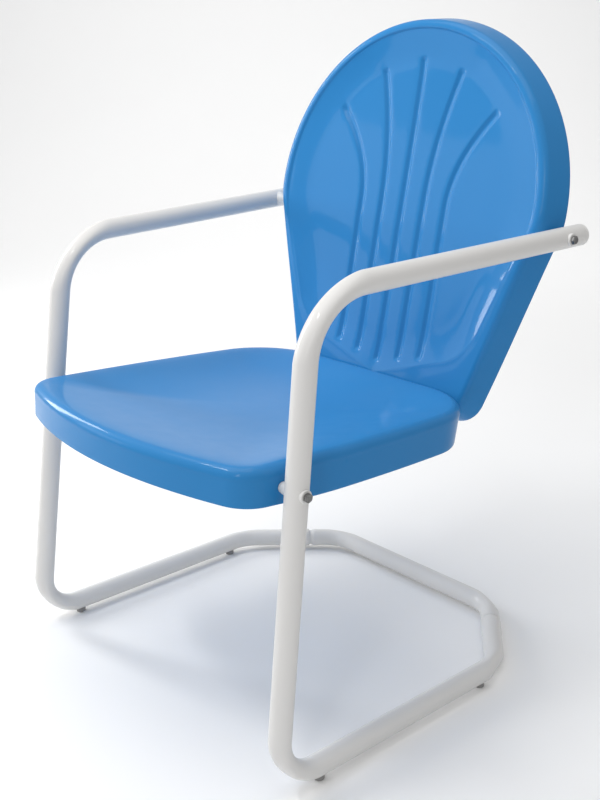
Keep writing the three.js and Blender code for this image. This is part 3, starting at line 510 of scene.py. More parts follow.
class Skin:
    """Rings of points joined by faces; a ring of one point is a pole"""

    def __init__(self):
        self.points = []
        self.faces = []

    def ring(self, points):
        """Adds a ring and returns its numbers"""
        first = len(self.points)
        self.points.extend(Vector(p) for p in points)
        return list(range(first, len(self.points)))

    def bridge(self, inner, outer):
        """Joins two rings with faces"""
        size = max(len(inner), len(outer))
        for i in range(size):
            j = (i + 1) % size
            if len(inner) == 1:
                self.faces.append((inner[0], outer[i], outer[j]))
            elif len(outer) == 1:
                self.faces.append((inner[i], outer[0], inner[j]))
            else:
                self.faces.append((inner[i], outer[i], outer[j], inner[j]))

    def rings(self, rings):
        """Adds rings and joins each to the next"""
        numbers = [self.ring(points) for points in rings]
        for inner, outer in zip(numbers, numbers[1:]):
            self.bridge(inner, outer)
        return numbers


# Finishes


def object_place(tree):
    """Object coordinates"""
    return add_node(tree, "ShaderNodeTexCoord")["Object"]


def noise(tree, place, scale, detail, roughness=0.5):
    """Soft noise between 0 and 1"""
    inputs = {"Vector": place, "Scale": scale, "Detail": detail, "Roughness": roughness}
    return add_node(tree, "ShaderNodeTexNoise", inputs)[0]


def swing(tree, value, span):
    """Noise that swings about zero over a span"""
    return maths(tree, "MULTIPLY", maths(tree, "SUBTRACT", value, 0.5), span)


def toned(tree, rgba, shift):
    """A colour made lighter and darker by a shift about zero"""
    inputs = {"Color": rgba, "Value": maths(tree, "ADD", shift, 1.0)}
    return add_node(tree, "ShaderNodeHueSaturation", inputs)[0]


@made_once("node_groups", "Sprayed enamel")
def enamel_group(name):
    """Sprayed enamel: slow drift of tone, faint orange peel and a little uneven gloss"""
    inputs = {"Colour": "Color", "Drift": "Float", "Base Roughness": "Float", "Peel Scale": "Float"}
    outputs = {"Colour": "Color", "Roughness": "Float", "Height": "Float"}
    tree, entry, output = new_tree(name, "ShaderNodeTree", inputs, outputs)
    place = object_place(tree)
    drift = swing(tree, noise(tree, place, scale=5, detail=3), entry["Drift"])
    uneven = swing(tree, noise(tree, place, scale=38, detail=4), span=0.12)
    peel_place = vector_maths(tree, "SCALE", place, entry["Peel Scale"])
    tree.links.new(toned(tree, entry["Colour"], drift), output["Colour"])
    tree.links.new(maths(tree, "ADD", entry["Base Roughness"], uneven), output["Roughness"])
    tree.links.new(noise(tree, peel_place, scale=1, detail=2, roughness=0.4), output["Height"])
    return tree


@made_once("node_groups", "Settled dust")
def dust_group(name):
    """Dust: a thin, patchy film on what faces up"""
    inputs = {"Amount": "Float", "Patch Scale": "Float"}
    tree, entry, output = new_tree(name, "ShaderNodeTree", inputs, {"Mask": "Float"})
    normal = add_node(tree, "ShaderNodeTexCoord")["Normal"]
    up = maths(tree, "MAXIMUM", add_node(tree, "ShaderNodeSeparateXYZ", {0: normal})["Z"])
    patches = noise(tree, object_place(tree), entry["Patch Scale"], detail=8)
    mask = maths(tree, "MULTIPLY", maths(tree, "MULTIPLY", up, patches), entry["Amount"])
    tree.links.new(mask, output["Mask"])
    return tree


def new_material(name):
    """An empty node material and its surface shader"""
    material = bpy.data.materials.new(name)
    material.use_nodes = True
    return material, material.node_tree, material.node_tree.nodes["Principled BSDF"]


def mixed_colour(tree, mask, first, second, **settings):
    """Two colours mixed by a mask"""
    inputs = {"Factor": mask, FIRST_COLOUR: first, SECOND_COLOUR: second}
    return add_node(tree, "ShaderNodeMix", inputs, data_type="RGBA", **settings)[MIXED_COLOUR]


def dusted(tree, shader, tone, roughness, amount, patch_scale):
    """Lays the dust film over a finish's colour and roughness"""
    inputs = {"Amount": amount, "Patch Scale": patch_scale}
    mask = add_node(tree, "ShaderNodeGroup", inputs, node_tree=dust_group())["Mask"]
    tree.links.new(mixed_colour(tree, mask, tone, chair("colours").dust), shader.inputs["Base Color"])
    tree.links.new(maths(tree, "ADD", roughness, mask), shader.inputs["Roughness"])


def embossed(tree, shader, height, depth):
    """Gives a finish the fine relief of a height"""
    relief = add_node(tree, "ShaderNodeBump", {"Height": height, "Strength": 1.0, "Distance": depth})[0]
    tree.links.new(relief, shader.inputs["Normal"])


def enamel(name, rgba, drift, roughness, peel_scale, peel_depth, dust):
    """Sprayed and baked enamel on steel"""
    material, tree, shader = new_material(name)
    inputs = {"Colour": rgba, "Drift": drift, "Base Roughness": roughness, "Peel Scale": peel_scale}
    paint = add_node(tree, "ShaderNodeGroup", inputs, node_tree=enamel_group())
    dusted(tree, shader, paint["Colour"], paint["Roughness"], dust, patch_scale=9)
    embossed(tree, shader, paint["Height"], peel_depth)
    for key, value in ENAMEL_SHEEN.items():
        shader.inputs[key].default_value = value
    return material


@made_once("materials", "blue_enamel")
def seat_enamel(name):
    """Blue enamel of the seat and the back"""
    return enamel(
        name, chair("colours").seat_blue, drift=0.07, roughness=0.3,
        peel_scale=420, peel_depth=0.03 * MILLIMETRE, dust=0.05)


@made_once("materials", "white_enamel")
def frame_enamel(name):
    """White enamel of the tubes"""
    return enamel(
        name, chair("colours").frame_white, drift=0.04, roughness=0.34,
        peel_scale=500, peel_depth=0.04 * MILLIMETRE, dust=0.06)


@made_once("materials", "zinc_plate")
def zinc_plate(name):
    """Zinc plating: fine crystals, brushed by the tool that made it"""
    material, tree, shader = new_material(name)
    place = object_place(tree)
    crystals = add_node(tree, "ShaderNodeTexVoronoi", {"Vector": place, "Scale": 700})["Color"]
    tarnish = noise(tree, place, scale=160, detail=6)
    mixed = mixed_colour(tree, tarnish, chair("colours").zinc, crystals, blend_type="MULTIPLY")
    faded = {"Color": mixed, "Saturation": 0.08, "Value": 1.25}
    tone = add_node(tree, "ShaderNodeHueSaturation", faded)[0]
    roughness = maths(tree, "ADD", maths(tree, "MULTIPLY", tarnish, ZINC_TARNISH), ZINC_ROUGHNESS)
    dusted(tree, shader, tone, roughness, amount=0.05, patch_scale=60)
    shader.inputs["Metallic"].default_value = 1.0
    return material


def moulded(name, rgba, grain_scale, grain_depth, roughness):
    """Moulded plastic with a fine grain"""
    material, tree, shader = new_material(name)
    place = object_place(tree)
    shift = swing(tree, noise(tree, place, scale=45, detail=3), span=0.08)
    uneven = maths(tree, "ADD", shift, roughness)
    dusted(tree, shader, toned(tree, rgba, shift), uneven, amount=0.06, patch_scale=60)
    embossed(tree, shader, noise(tree, place, grain_scale, detail=4), grain_depth)
    return material


@made_once("materials", "white_moulding")
def white_moulding(name):
    """Washers, spacers and plugs"""
    rgba = chair("colours").moulded_white
    return moulded(name, rgba, grain_scale=2200, grain_depth=0.02 * MILLIMETRE, roughness=0.42)


@made_once("materials", "grey_moulding")
def grey_moulding(name):
    """Floor glides"""
    rgba = chair("colours").moulded_grey
    return moulded(name, rgba, grain_scale=1800, grain_depth=0.04 * MILLIMETRE, roughness=0.5)


@made_once("materials", "studio_floor")
def studio_floor(name):
    """Pale, matt studio floor"""
    material, tree, shader = new_material(name)
    mottle = swing(tree, noise(tree, object_place(tree), scale=2, detail=5), span=0.02)
    tree.links.new(toned(tree, chair("colours").floor, mottle), shader.inputs["Base Color"])
    shader.inputs["Roughness"].default_value = FLOOR_ROUGHNESS
    return material


# Places, worked out from the frame


def middle(node):
    """Middle of a frame node's box"""
    low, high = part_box(node)
    return (low + high) / 2


class Layout:
    """Directions and corners of the left-hand side frame, the seat and the back"""

    def __init__(self):
        self.tube, self.sheet = chair("tube"), chair("sheet")
        self.seat, self.back = chair("seat"), chair("back")
        self.place_directions()
        self.place_tubes()
        self.place_sheets()

    def place_directions(self):
        """Unit directions of the leg, arm, floor rail and rear stub"""
        tube = self.tube
        x, y = -math.sin(tube.leg_toe_in), math.sin(tube.leg_lean)
        self.leg = Vector((x, y, math.sqrt(1 - x * x - y * y)))
        x, z = math.sin(tube.arm_splay), math.sin(tube.arm_rise)
        self.arm = Vector((x, math.sqrt(1 - x * x - z * z), z))
        self.rail = Vector((math.sin(tube.rail_splay), math.cos(tube.rail_splay), 0))
        self.stub = Vector((-math.sin(tube.stub_angle), math.cos(tube.stub_angle), 0))

    def place_tubes(self):
        """Corners of the tubes: the glides give the rail's line and the bolts give the leg and the arm"""
        tube = self.tube
        glide = middle("glide_front_left")
        height = middle("floor_rail_left").z
        seat_bolt = middle("seat_bolt_left")
        corner_y = seat_bolt.y - (seat_bolt.z - height) * self.leg.y / self.leg.z
        corner_x = glide.x + (corner_y - glide.y) * self.rail.x / self.rail.y
        self.front_corner = Vector((corner_x, corner_y, height))
        self.seat_bolt = self.front_corner + self.leg * ((seat_bolt.y - corner_y) / self.leg.y)
        self.arm_corner = self.front_corner + self.leg * tube.leg_length
        arm_reach = (middle("arm_bolt_left").y - self.arm_corner.y) / self.arm.y
        self.arm_bolt = self.arm_corner + self.arm * arm_reach
        self.arm_end = self.arm_bolt + self.arm * tube.arm_past_bolt
        self.rail_corner = self.front_corner + self.rail * tube.rail_length
        self.stub_end = self.rail_corner + self.stub * tube.stub_to_joint
        self.cross_corner = self.rail_corner + self.stub * tube.stub_to_cross

    def place_sheets(self):
        """Axes of the pitched seat and the reclined back"""
        seat, back = self.seat, self.back
        self.seat_rear = seat.depth - seat.bolt_to_front
        self.seat_back = Vector((0, math.cos(seat.pitch), -math.sin(seat.pitch)))
        self.seat_up = Vector((0, math.sin(seat.pitch), math.cos(seat.pitch)))
        self.back_front = Vector((0, -math.cos(back.recline), math.sin(back.recline)))
        self.back_up = Vector((0, math.sin(back.recline), math.cos(back.recline)))
        self.rim = self.seat_point(Place(0, self.seat_rear), -seat.roll)
        foot = self.rim - self.back_front * (back.apron + self.sheet.gap)
        self.foot = foot - self.back_up * back.foot_below_rim
        self.widest = back.height - back.crown

    def seat_point(self, place, rise):
        """A place on the seat: across and behind the bolts, and a rise above the crest"""
        origin = Vector((place.x, self.seat_bolt.y, self.seat_bolt.z))
        return origin + self.seat_back * place.y + self.seat_up * (rise + self.seat.bolt_below_crest)

    def back_point(self, place, forward):
        """A place on the back: across and up the sheet, and forwards of its flat"""
        origin = Vector((place.x, self.foot.y, self.foot.z))
        return origin + self.back_up * place.y + self.back_front * forward

    def back_half_width(self):
        """Half the width of the back, which swells above the arm bolts' spacers that it touches"""
        low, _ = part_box("arm_spacer_left")
        sizes = chair("fittings")
        lean = math.tan(self.back.draft) * (sizes.spacer_wall_radius + sizes.flats / 2)
        above_bolt = self.widest - (self.arm_bolt - self.foot).dot(self.back_up)
        swell = math.sqrt(1 - (above_bolt / self.back.haunch) ** 2)
        return (low.x - self.sheet.gap - lean) / swell

    def bolted(self):
        """The two bolts of the left-hand side frame: what they carry, where, and the tube's direction"""
        return ("seat", self.seat_bolt, self.leg), ("arm", self.arm_bolt, self.arm)


# Tubes

Station = namedtuple("Station", "at outward squeeze thickness")


def bent_line(corners, bends, steps):
    """Stations along a line through corners that are rounded with their bend radii"""
    line = [Station(corners[0], UP, 0, 1)]
    for before, corner, after, bend in zip(corners, corners[1:], corners[2:], bends):
        into = (corner - before).normalized()
        out = (after - corner).normalized()
        turn = into.angle(out)
        inward = (out - into * into.dot(out)).normalized()
        start = corner - into * bend * math.tan(turn / 2)
        parts = math.ceil(steps * turn / (math.pi / 2))
        for k in range(parts + 1):
            swing = turn * k / parts
            at = start + into * bend * math.sin(swing) + inward * bend * (1 - math.cos(swing))
            outward = into * math.sin(swing) - inward * math.cos(swing)
            line.append(Station(at, outward, math.sin(math.pi * k / parts), 1))
    line.append(Station(corners[-1], UP, 0, 1))
    return line


def shaped_end(line, profile):
    """Replaces the last station by stations at distances before the end, each with its own thickness"""
    end, before = line[-1].at, line[-2].at
    along = (end - before).normalized()
    stations = [Station(end - along * back, line[-1].outward, 0, thickness) for back, thickness in profile]
    return line[:-1] + stations


def lip_profile(tube, thickness):
    """The last stretch of a cut end, whose edge is rounded over"""
    radius = tube.radius * thickness
    rounded = rounding(tube.lip, math.pi / 2, LIP_STEPS)
    return [(tube.lip - along, (radius - fall) / tube.radius) for along, fall in rounded]


def sweep(name, line, material):
    """A bent tube made by the tube tree"""
    tube = chair("tube")
    source = station_object(name + "_line", line, [(k, k + 1) for k in range(len(line) - 1)])
    values = {"Radius": tube.radius, "Sides": tube.sides, "Flattening": tube.flattening}
    piece = run_tree(name, source, tube_tree(), {**values, "Material": material})
    shade(piece, SHEET_CREASE)
    face_outwards(piece)
    return piece


def side_tube_line(layout):
    """From the arm's rear end down the leg and back along the floor to the socket"""
    tube = layout.tube
    corners = [layout.arm_end, layout.arm_corner, layout.front_corner, layout.rail_corner, layout.stub_end]
    line = bent_line(corners, [tube.arm_bend, tube.front_bend, tube.rear_bend], tube.bend_steps)
    socket = []
    for k in range(RAMP_STEPS + 1):
        share = k / RAMP_STEPS
        before_end = tube.socket_length + tube.socket_ramp * (1 - share)
        socket.append((before_end, mix(1, tube.socket_swell, smoothstep(share, 0, 1))))
    line = shaped_end(line, socket + lip_profile(tube, tube.socket_swell))
    return shaped_end(line[::-1], lip_profile(tube, 1))[::-1]


def rear_tube_line(layout):
    """Cross tube whose necked ends go into the sockets"""
    tube = layout.tube
    neck = (tube.radius - tube.wall - layout.sheet.gap) / tube.radius
    start = layout.stub_end - layout.stub * tube.neck
    flipped = [Vector((-p.x, p.y, p.z)) for p in (layout.cross_corner, start)]
    line = bent_line([start, layout.cross_corner, *flipped], [tube.rear_bend] * 2, tube.bend_steps)
    foot = tube.neck + tube.neck_gap
    heights = (1, tube.neck_bulge)
    shoulder = [(foot + tube.neck_taper * share, height) for share, height in zip(SHOULDER_SHARES, heights)]
    for k in range(NECK_STEPS, -1, -1):
        turn = math.pi / 2 * k / NECK_STEPS
        before_end = foot + tube.neck_taper * (1 - math.cos(turn))
        shoulder.append((before_end, mix(neck, tube.neck_bulge, math.sin(turn))))
    shoulder.append((0, neck))
    return shaped_end(shaped_end(line, shoulder)[::-1], shoulder)[::-1]


# Outlines of the pressed sheets

Place = namedtuple("Place", "x y")


def arc(centre, radius, start, stop, steps):
    """Places round an arc"""
    turns = [start + (stop - start) * k / steps for k in range(steps + 1)]
    return [Place(centre.x + radius * math.cos(t), centre.y + radius * math.sin(t)) for t in turns]


def straight(a, b, steps):
    """Places along a straight line"""
    return [Place(a.x + (b.x - a.x) * k / steps, a.y + (b.y - a.y) * k / steps) for k in range(steps + 1)]


def close_by_mirror(half):
    """A closed outline from its right-hand half, whose stretches each start where the last one ends"""
    distinct = [half[0]]
    for place in half[1:]:
        if math.hypot(place.x - distinct[-1].x, place.y - distinct[-1].y) > SAME_PLACE:
            distinct.append(place)
    return distinct + [Place(-p.x, p.y) for p in reversed(distinct[1:-1])]


def outward_normals(outline):
    """Outward directions of a closed outline that runs anticlockwise"""
    normals = []
    for i, _ in enumerate(outline):
        before, after = outline[i - 1], outline[(i + 1) % len(outline)]
        size = math.hypot(after.x - before.x, after.y - before.y)
        normals.append(Place((after.y - before.y) / size, (before.x - after.x) / size))
    return normals


def offset(outline, normals, distance):
    """An outline moved outwards by a distance"""
    return [Place(p.x + n.x * distance, p.y + n.y * distance) for p, n in zip(outline, normals)]


def rounding(radius, turn, steps):
    """How far a rounded edge has run on and how far it has turned off, at each of its steps"""
    turns = [turn * k / steps for k in range(steps + 1)]
    return [(radius * math.sin(t), radius * (1 - math.cos(t))) for t in turns]


def smoothstep(value, low, high):
    """0 below low, 1 above high and an even S between"""
    t = min(1, max(0, (value - low) / (high - low)))
    return t * t * (3 - 2 * t)


def mix(a, b, share):
    """A value between two others"""
    return a + (b - a) * share


# Seat


def right_hand_meeting(a, to_a, b, to_b):
    """The right-hand place at given distances from two centres"""
    apart = math.hypot(b.x - a.x, b.y - a.y)
    along = (to_a**2 - to_b**2 + apart**2) / (2 * apart)
    aside = math.sqrt(to_a**2 - along**2)
    ux, uy = (b.x - a.x) / apart, (b.y - a.y) / apart
    options = [Place(a.x + ux * along - s * uy * aside, a.y + uy * along + s * ux * aside) for s in (1, -1)]
    return max(options, key=lambda p: p.x)


def seat_outline(layout):
    """Bowed front and sides, rounded corners and a straight rear"""
    seat = layout.seat
    front = Place(0, seat.front_bow - seat.bolt_to_front)
    side = Place(seat.width / 2 - seat.side_bow, seat.widest_at)
    to_front, to_side = seat.front_bow - seat.front_corner, seat.side_bow - seat.front_corner
    near = right_hand_meeting(front, to_front, side, to_side)
    far_y = layout.seat_rear - seat.rear_corner
    far = Place(side.x + math.sqrt((seat.side_bow - seat.rear_corner) ** 2 - (far_y - side.y) ** 2), far_y)
    near_angle = math.atan2(near.y - front.y, near.x - front.x)
    side_angle = math.atan2(near.y - side.y, near.x - side.x)
    far_angle = math.atan2(far.y - side.y, far.x - side.x)
    half = arc(front, seat.front_bow, -math.pi / 2, near_angle, SEAT_STEPS["front"])
    half += arc(near, seat.front_corner, near_angle, side_angle, SEAT_STEPS["corner"])
    half += arc(side, seat.side_bow, side_angle, far_angle, SEAT_STEPS["side"])
    half += arc(far, seat.rear_corner, far_angle, math.pi / 2, SEAT_STEPS["corner"])
    half += straight(Place(far.x, layout.seat_rear), Place(0, layout.seat_rear), SEAT_STEPS["rear"])
    return close_by_mirror(half)


def skirt_depth(layout, u):
    """Depth of the seat's skirt from front to rear"""
    seat = layout.seat
    rear = smoothstep(u, layout.seat_rear - seat.rear_corner / 2, layout.seat_rear - seat.roll)
    side = smoothstep(u, -seat.bolt_to_front, seat.bolt_to_front)
    return mix(mix(seat.skirt_front, seat.skirt_side, side), seat.skirt_rear, rear)


def skirt_lean(layout, u):
    """How much the skirt leans in, to lie on the back at the rear"""
    rear = smoothstep(u, layout.seat_rear - layout.seat.rear_corner, layout.seat_rear - layout.seat.roll)
    return rear * math.tan(layout.back.recline - layout.seat.pitch)


def skirt_place(layout, place, normal, share, curl, sag):
    """A share of the way down the skirt, with its faint bead, then curled in and down round the hem"""
    seat = layout.seat
    down = mix(seat.roll, skirt_depth(layout, place.y) - layout.sheet.hem, share)
    bead = smoothstep(down, seat.roll, seat.bead_below) * (1 - smoothstep(share, *BEAD_FADE_SHARES))
    inward = (down - seat.roll) * skirt_lean(layout, place.y) + seat.bead * bead + curl
    return layout.seat_point(Place(place.x - normal.x * inward, place.y - normal.y * inward), -down - sag)


def skirt_rings(layout, outline, normals):
    """The skirt below the roll and its curled hem"""
    steps = [(share, 0, 0) for share in SKIRT_SHARES]
    steps += [(1, curl, sag) for sag, curl in rounding(layout.sheet.hem, math.pi, HEM_STEPS)[1:]]
    return [[skirt_place(layout, p, n, *step) for p, n in zip(outline, normals)] for step in steps]


def seat_rings(layout):
    """Rings of the seat from its dished middle out over the roll and down the skirt"""
    seat = layout.seat
    outline = seat_outline(layout)
    normals = outward_normals(outline)
    crest = offset(outline, normals, -seat.roll)
    centre = Place(0, layout.seat_rear / 2)
    rings = [[layout.seat_point(centre, -seat.dish)]]
    for share in DISH_RING_SHARES:
        fall = seat.dish * (1 - share**seat.dish_power) ** seat.dish_spread
        places = [Place(p.x * share, mix(centre.y, p.y, share)) for p in crest]
        rings.append([layout.seat_point(p, -fall) for p in places])
    for out, fall in rounding(seat.roll, math.pi / 2, SEAT_STEPS["roll"])[1:]:
        rings.append([layout.seat_point(p, -fall) for p in offset(crest, normals, out)])
    return rings + skirt_rings(layout, outline, normals)


def pressed(piece, node, slack):
    """Gives an open pressed sheet its thickness, its paint and its place in the frame"""
    wall = piece.modifiers.new("Sheet", "SOLIDIFY")
    wall.thickness = chair("sheet").thickness
    wall.offset = -1
    wall.use_rim = True
    sheet = plain_piece(piece.name.removesuffix("_face"), piece)
    sheet.data.materials.append(seat_enamel())
    shade(sheet, SHEET_CREASE)
    check_against(sheet, [node], slack)
    hand_over(sheet, [node], "seat_frame")


# Back


def egg_outline(layout, half_width, crown_rise, corner, corner_radius, foot_y):
    """Foot line, rounded corner, straight side and full crown of the back or of its panel"""
    back = layout.back
    px, py = corner.x / half_width, (corner.y - layout.widest) / back.haunch
    touch = math.atan2(py, px) + math.acos(1 / math.hypot(px, py))
    touching = Place(half_width * math.cos(touch), layout.widest + back.haunch * math.sin(touch))
    to_foot = Vector((-corner.x, foot_y - corner.y)).normalized()
    to_side = Vector((touching.x - corner.x, touching.y - corner.y)).normalized()
    opening = to_foot.angle(to_side)
    reach = corner_radius / math.tan(opening / 2)
    at = Vector((corner.x, corner.y))
    centre = at + (to_foot + to_side).normalized() * corner_radius / math.sin(opening / 2)
    first, last = at + to_foot * reach, at + to_side * reach
    start = math.atan2(first.y - centre.y, first.x - centre.x)
    stop = math.atan2(last.y - centre.y, last.x - centre.x)
    half = straight(Place(0, foot_y), Place(first.x, first.y), BACK_STEPS["foot"])
    half += arc(Place(centre.x, centre.y), corner_radius, start, stop, BACK_STEPS["corner"])
    half += straight(Place(last.x, last.y), touching, BACK_STEPS["side"])
    unit = Place(0, 0)
    haunch = arc(unit, 1, touch, 0, BACK_STEPS["haunch"])
    half += [Place(half_width * p.x, layout.widest + back.haunch * p.y) for p in haunch]
    power = 2 / back.crown_power
    crown = arc(unit, 1, 0, math.pi / 2, BACK_STEPS["crown"])
    crown = [Place(max(0, p.x) ** power, p.y**power) for p in crown]
    half += [Place(half_width * p.x, layout.widest + crown_rise * p.y) for p in crown]
    return close_by_mirror(half)


def edge_forward(layout, h):
    """How far the folded edge stands forward: the apron at the foot and the full dish above"""
    share = smoothstep(h, layout.back.keel_height, layout.widest)
    return mix(layout.back.apron, layout.back.dish, share)


class Spokes:
    """How far an outline reaches from the middle of the back in every direction"""

    def __init__(self, outline, middle_height):
        ends = [Vector((p.x, p.y - middle_height)) for p in outline]
        self.ends = sorted(ends, key=self.turn)
        self.turns = [self.turn(end) for end in self.ends]

    @staticmethod
    def turn(along):
        """Turn of a direction about the middle"""
        return math.atan2(along.y, along.x) % (2 * math.pi)

    def reach(self, along):
        """Distance to the outline along a unit direction"""
        after = bisect(self.turns, self.turn(along)) % len(self.turns)
        end, side = self.ends[after - 1], self.ends[after] - self.ends[after - 1]
        return (end.x * side.y - end.y * side.x) / (along.x * side.y - along.y * side.x)


class Panel:
    """The sheet inside the fold: a dished panel that rises to its rim, and a ledge round it"""

    def __init__(self, layout, rim, fold, half_width):
        self.layout, self.rim_line, self.half_width = layout, rim, half_width
        self.rim = Spokes(rim, layout.widest)
        self.fold = Spokes(fold, layout.widest)

    def ledge_at(self, place):
        """How far outside the rim a place is, along its spoke, and how wide the ledge is there"""
        back = self.layout.back
        spoke = Vector((place.x, place.y - self.layout.widest))
        if spoke.length < MILLIMETRE:
            return -back.rise, back.ledge
        along = spoke.normalized()
        rim = self.rim.reach(along)
        room = self.fold.reach(along) - rim
        width = mix(back.foot_ledge, back.ledge, self.share_up(place.y))
        return spoke.length - rim, min(width, room * LEDGE_SHARE)

    def share_up(self, h):
        """From the broad, faint ledge at the foot to the narrow, crisp one above"""
        return smoothstep(h, self.layout.back.ledge_from, self.layout.widest)

    def lining(self, h):
        """How far inside the rim the finer mesh reaches"""
        return mix(self.layout.back.foot_lining, self.layout.back.lining, self.share_up(h))

    def ledge_loop(self, share):
        """A line round the ledge at a share of its width, or inside the rim at a share of the lining"""
        loop = []
        for place in self.rim_line:
            spoke = Vector((place.x, place.y - self.layout.widest))
            span = self.ledge_at(place)[1] if share > 0 else self.lining(place.y)
            at = spoke * (1 + span * share / spoke.length)
            loop.append(Vector((at.x, at.y + self.layout.widest)))
        return loop

    def forward(self, place):
        """How far the sheet stands forward of the flat"""
        layout, back = self.layout, self.layout.back
        beyond, width = self.ledge_at(place)
        edge = edge_forward(layout, place.y)
        step = mix(back.foot_ledge_step, back.ledge_step, self.share_up(place.y))
        if beyond > 0:
            return edge - step * (1 - smoothstep(beyond, 0, width))
        across = min(1, abs(place.x) / self.half_width) ** 2
        up = max(0, (place.y - layout.widest) / back.crown) ** back.crown_dish_power
        dish = (edge - back.step) * max(across, up) * smoothstep(place.y, back.keel_height, layout.widest)
        return mix(dish, edge - step, max(0, 1 + beyond / back.rise) ** 2)


def rib_line(rib, top, index, h):
    """Centre of a rib at a height: straight up from its foot, then fanning outwards"""
    rise = max(0, h - rib.fan_start) / (top - rib.fan_start)
    return Vector((rib.spacing * (index + RIB_FAN_SHARES[index] * rise**2), h))


class Rib:
    """One pressed groove on one side of the middle"""

    def __init__(self, layout, index, side):
        self.rib = chair("rib")
        self.index, self.side = index, side
        self.top = layout.back.height * RIB_TOP_SHARES[index]
        self.foot = self.rib.foot + self.rib.foot_step * index

    def frame(self, h):
        """The centre at a height and the unit direction along the groove"""
        centre = rib_line(self.rib, self.top, self.index, h)
        ahead = rib_line(self.rib, self.top, self.index, h + self.rib.step / 2)
        behind = rib_line(self.rib, self.top, self.index, h - self.rib.step / 2)
        along = (ahead - behind).normalized()
        return Vector((centre.x * self.side, centre.y)), Vector((along.x * self.side, along.y))

    def place(self, h, across):
        """A place beside the centre line"""
        centre, along = self.frame(h)
        return centre + Vector((along.y, -along.x)) * across

    def loop(self, share):
        """A closed line round the groove, at a share of its half width and of its end"""
        rib = self.rib
        low, high = self.foot + rib.end, self.top - rib.end
        rows = math.ceil((high - low) / rib.step)
        heights = [mix(low, high, k / rows) for k in range(rows + 1)]
        half = rib.width / 2 * share
        power = 2 / rib.end_power
        turns = [math.pi * k / RIB_CAP_STEPS for k in range(1, RIB_CAP_STEPS)]
        caps = [(math.copysign(abs(math.cos(t)) ** power, math.cos(t)), math.sin(t) ** power) for t in turns]
        places = [self.place(h, half) for h in heights]
        places += [self.place(high + rib.end * share * e, half * a) for a, e in caps]
        places += [self.place(h, -half) for h in reversed(heights)]
        places += [self.place(low - rib.end * share * e, -half * a) for a, e in caps]
        return places

    def depth(self, place):
        """How deep the groove is pressed at a place"""
        rib = self.rib
        h = place.y
        for _ in range(RIB_ROUNDS):
            centre, along = self.frame(h)
            h += (place - centre).dot(along)
        centre, along = self.frame(h)
        across = abs((place - centre).dot(Vector((along.y, -along.x)))) / (rib.width / 2)
        beyond = max(0, h - (self.top - rib.end), self.foot + rib.end - h) / rib.end
        share = (across**rib.end_power + beyond**rib.end_power) ** (1 / rib.end_power)
        return rib.depth * (1 - smoothstep(share, *RIB_WALL_SHARES))


def all_ribs(layout):
    """The middle rib and two on each side of it"""
    return [Rib(layout, 0, 1)] + [Rib(layout, index, side) for index in (1, 2) for side in (1, -1)]


def inside_outline(outline, place, margin):
    """Whether a place lies inside a convex outline by more than a margin"""
    for a, b in zip(outline, outline[1:] + outline[:1]):
        size = math.hypot(b.x - a.x, b.y - a.y)
        if ((b.x - a.x) * (place.y - a.y) - (b.y - a.y) * (place.x - a.x)) / size < margin:
            return False
    return True


def sheet_grid(panel, fold, ribs):
    """Staggered places that fill the sheet between the ribs, the ledge and the fold"""
    grain = panel.layout.back.grain
    row_height = grain * math.sqrt(3) / 2
    half_width = max(p.x for p in fold)
    top, bottom = max(p.y for p in fold), min(p.y for p in fold)
    clear = ribs[0].rib.width / 2 * RIB_LOOP_SHARES[0] + grain / 2
    places = []
    for row in range(int((top - bottom) / row_height) + 1):
        y = bottom + row * row_height
        lines = [rib.frame(y)[0].x for rib in ribs if rib.foot - clear < y < rib.top + clear]
        for column in range(-int(half_width / grain) - 1, int(half_width / grain) + 2):
            place = Vector(((column + row % 2 / 2) * grain, y))
            if any(abs(place.x - x) < clear for x in lines) or not inside_outline(fold, place, grain / 2):
                continue
            beyond, width = panel.ledge_at(place)
            if not -panel.lining(y) - grain / 2 < beyond < width + grain / 2:
                places.append(place)
    return places


def sheet_patch(skin, layout, panel, fold):
    """Triangulates the sheet with its ribs and ledge into the skin and returns the numbers of its edge"""
    ribs = all_ribs(layout)
    loops = [[Vector((p.x, p.y)) for p in fold]]
    loops += [panel.ledge_loop(share) for share in LEDGE_LOOP_SHARES]
    loops += [rib.loop(share) for rib in ribs for share in RIB_LOOP_SHARES]
    flat, edges = [], []
    for loop in loops:
        first = len(flat)
        edges += [(first + i, first + (i + 1) % len(loop)) for i in range(len(loop))]
        flat += loop
    flat += sheet_grid(panel, fold, ribs)
    places, _, faces, origins, _, _ = delaunay_2d_cdt(flat, edges, [], 1, SAME_CROSSING)
    reach = chair("rib").width
    points = []
    for place in places:
        near = [rib for rib in ribs if rib.foot - reach < place.y < rib.top + reach
                and abs(rib.frame(place.y)[0].x - place.x) < reach]
        groove = max([rib.depth(place) for rib in near], default=0)
        points.append(layout.back_point(place, panel.forward(place) - groove))
    numbers = skin.ring(points)
    skin.faces += [tuple(numbers[i] for i in face) for face in faces]
    by_origin = {origin: numbers[k] for k, sources in enumerate(origins) for origin in sources}
    return [by_origin[i] for i in range(len(fold))]


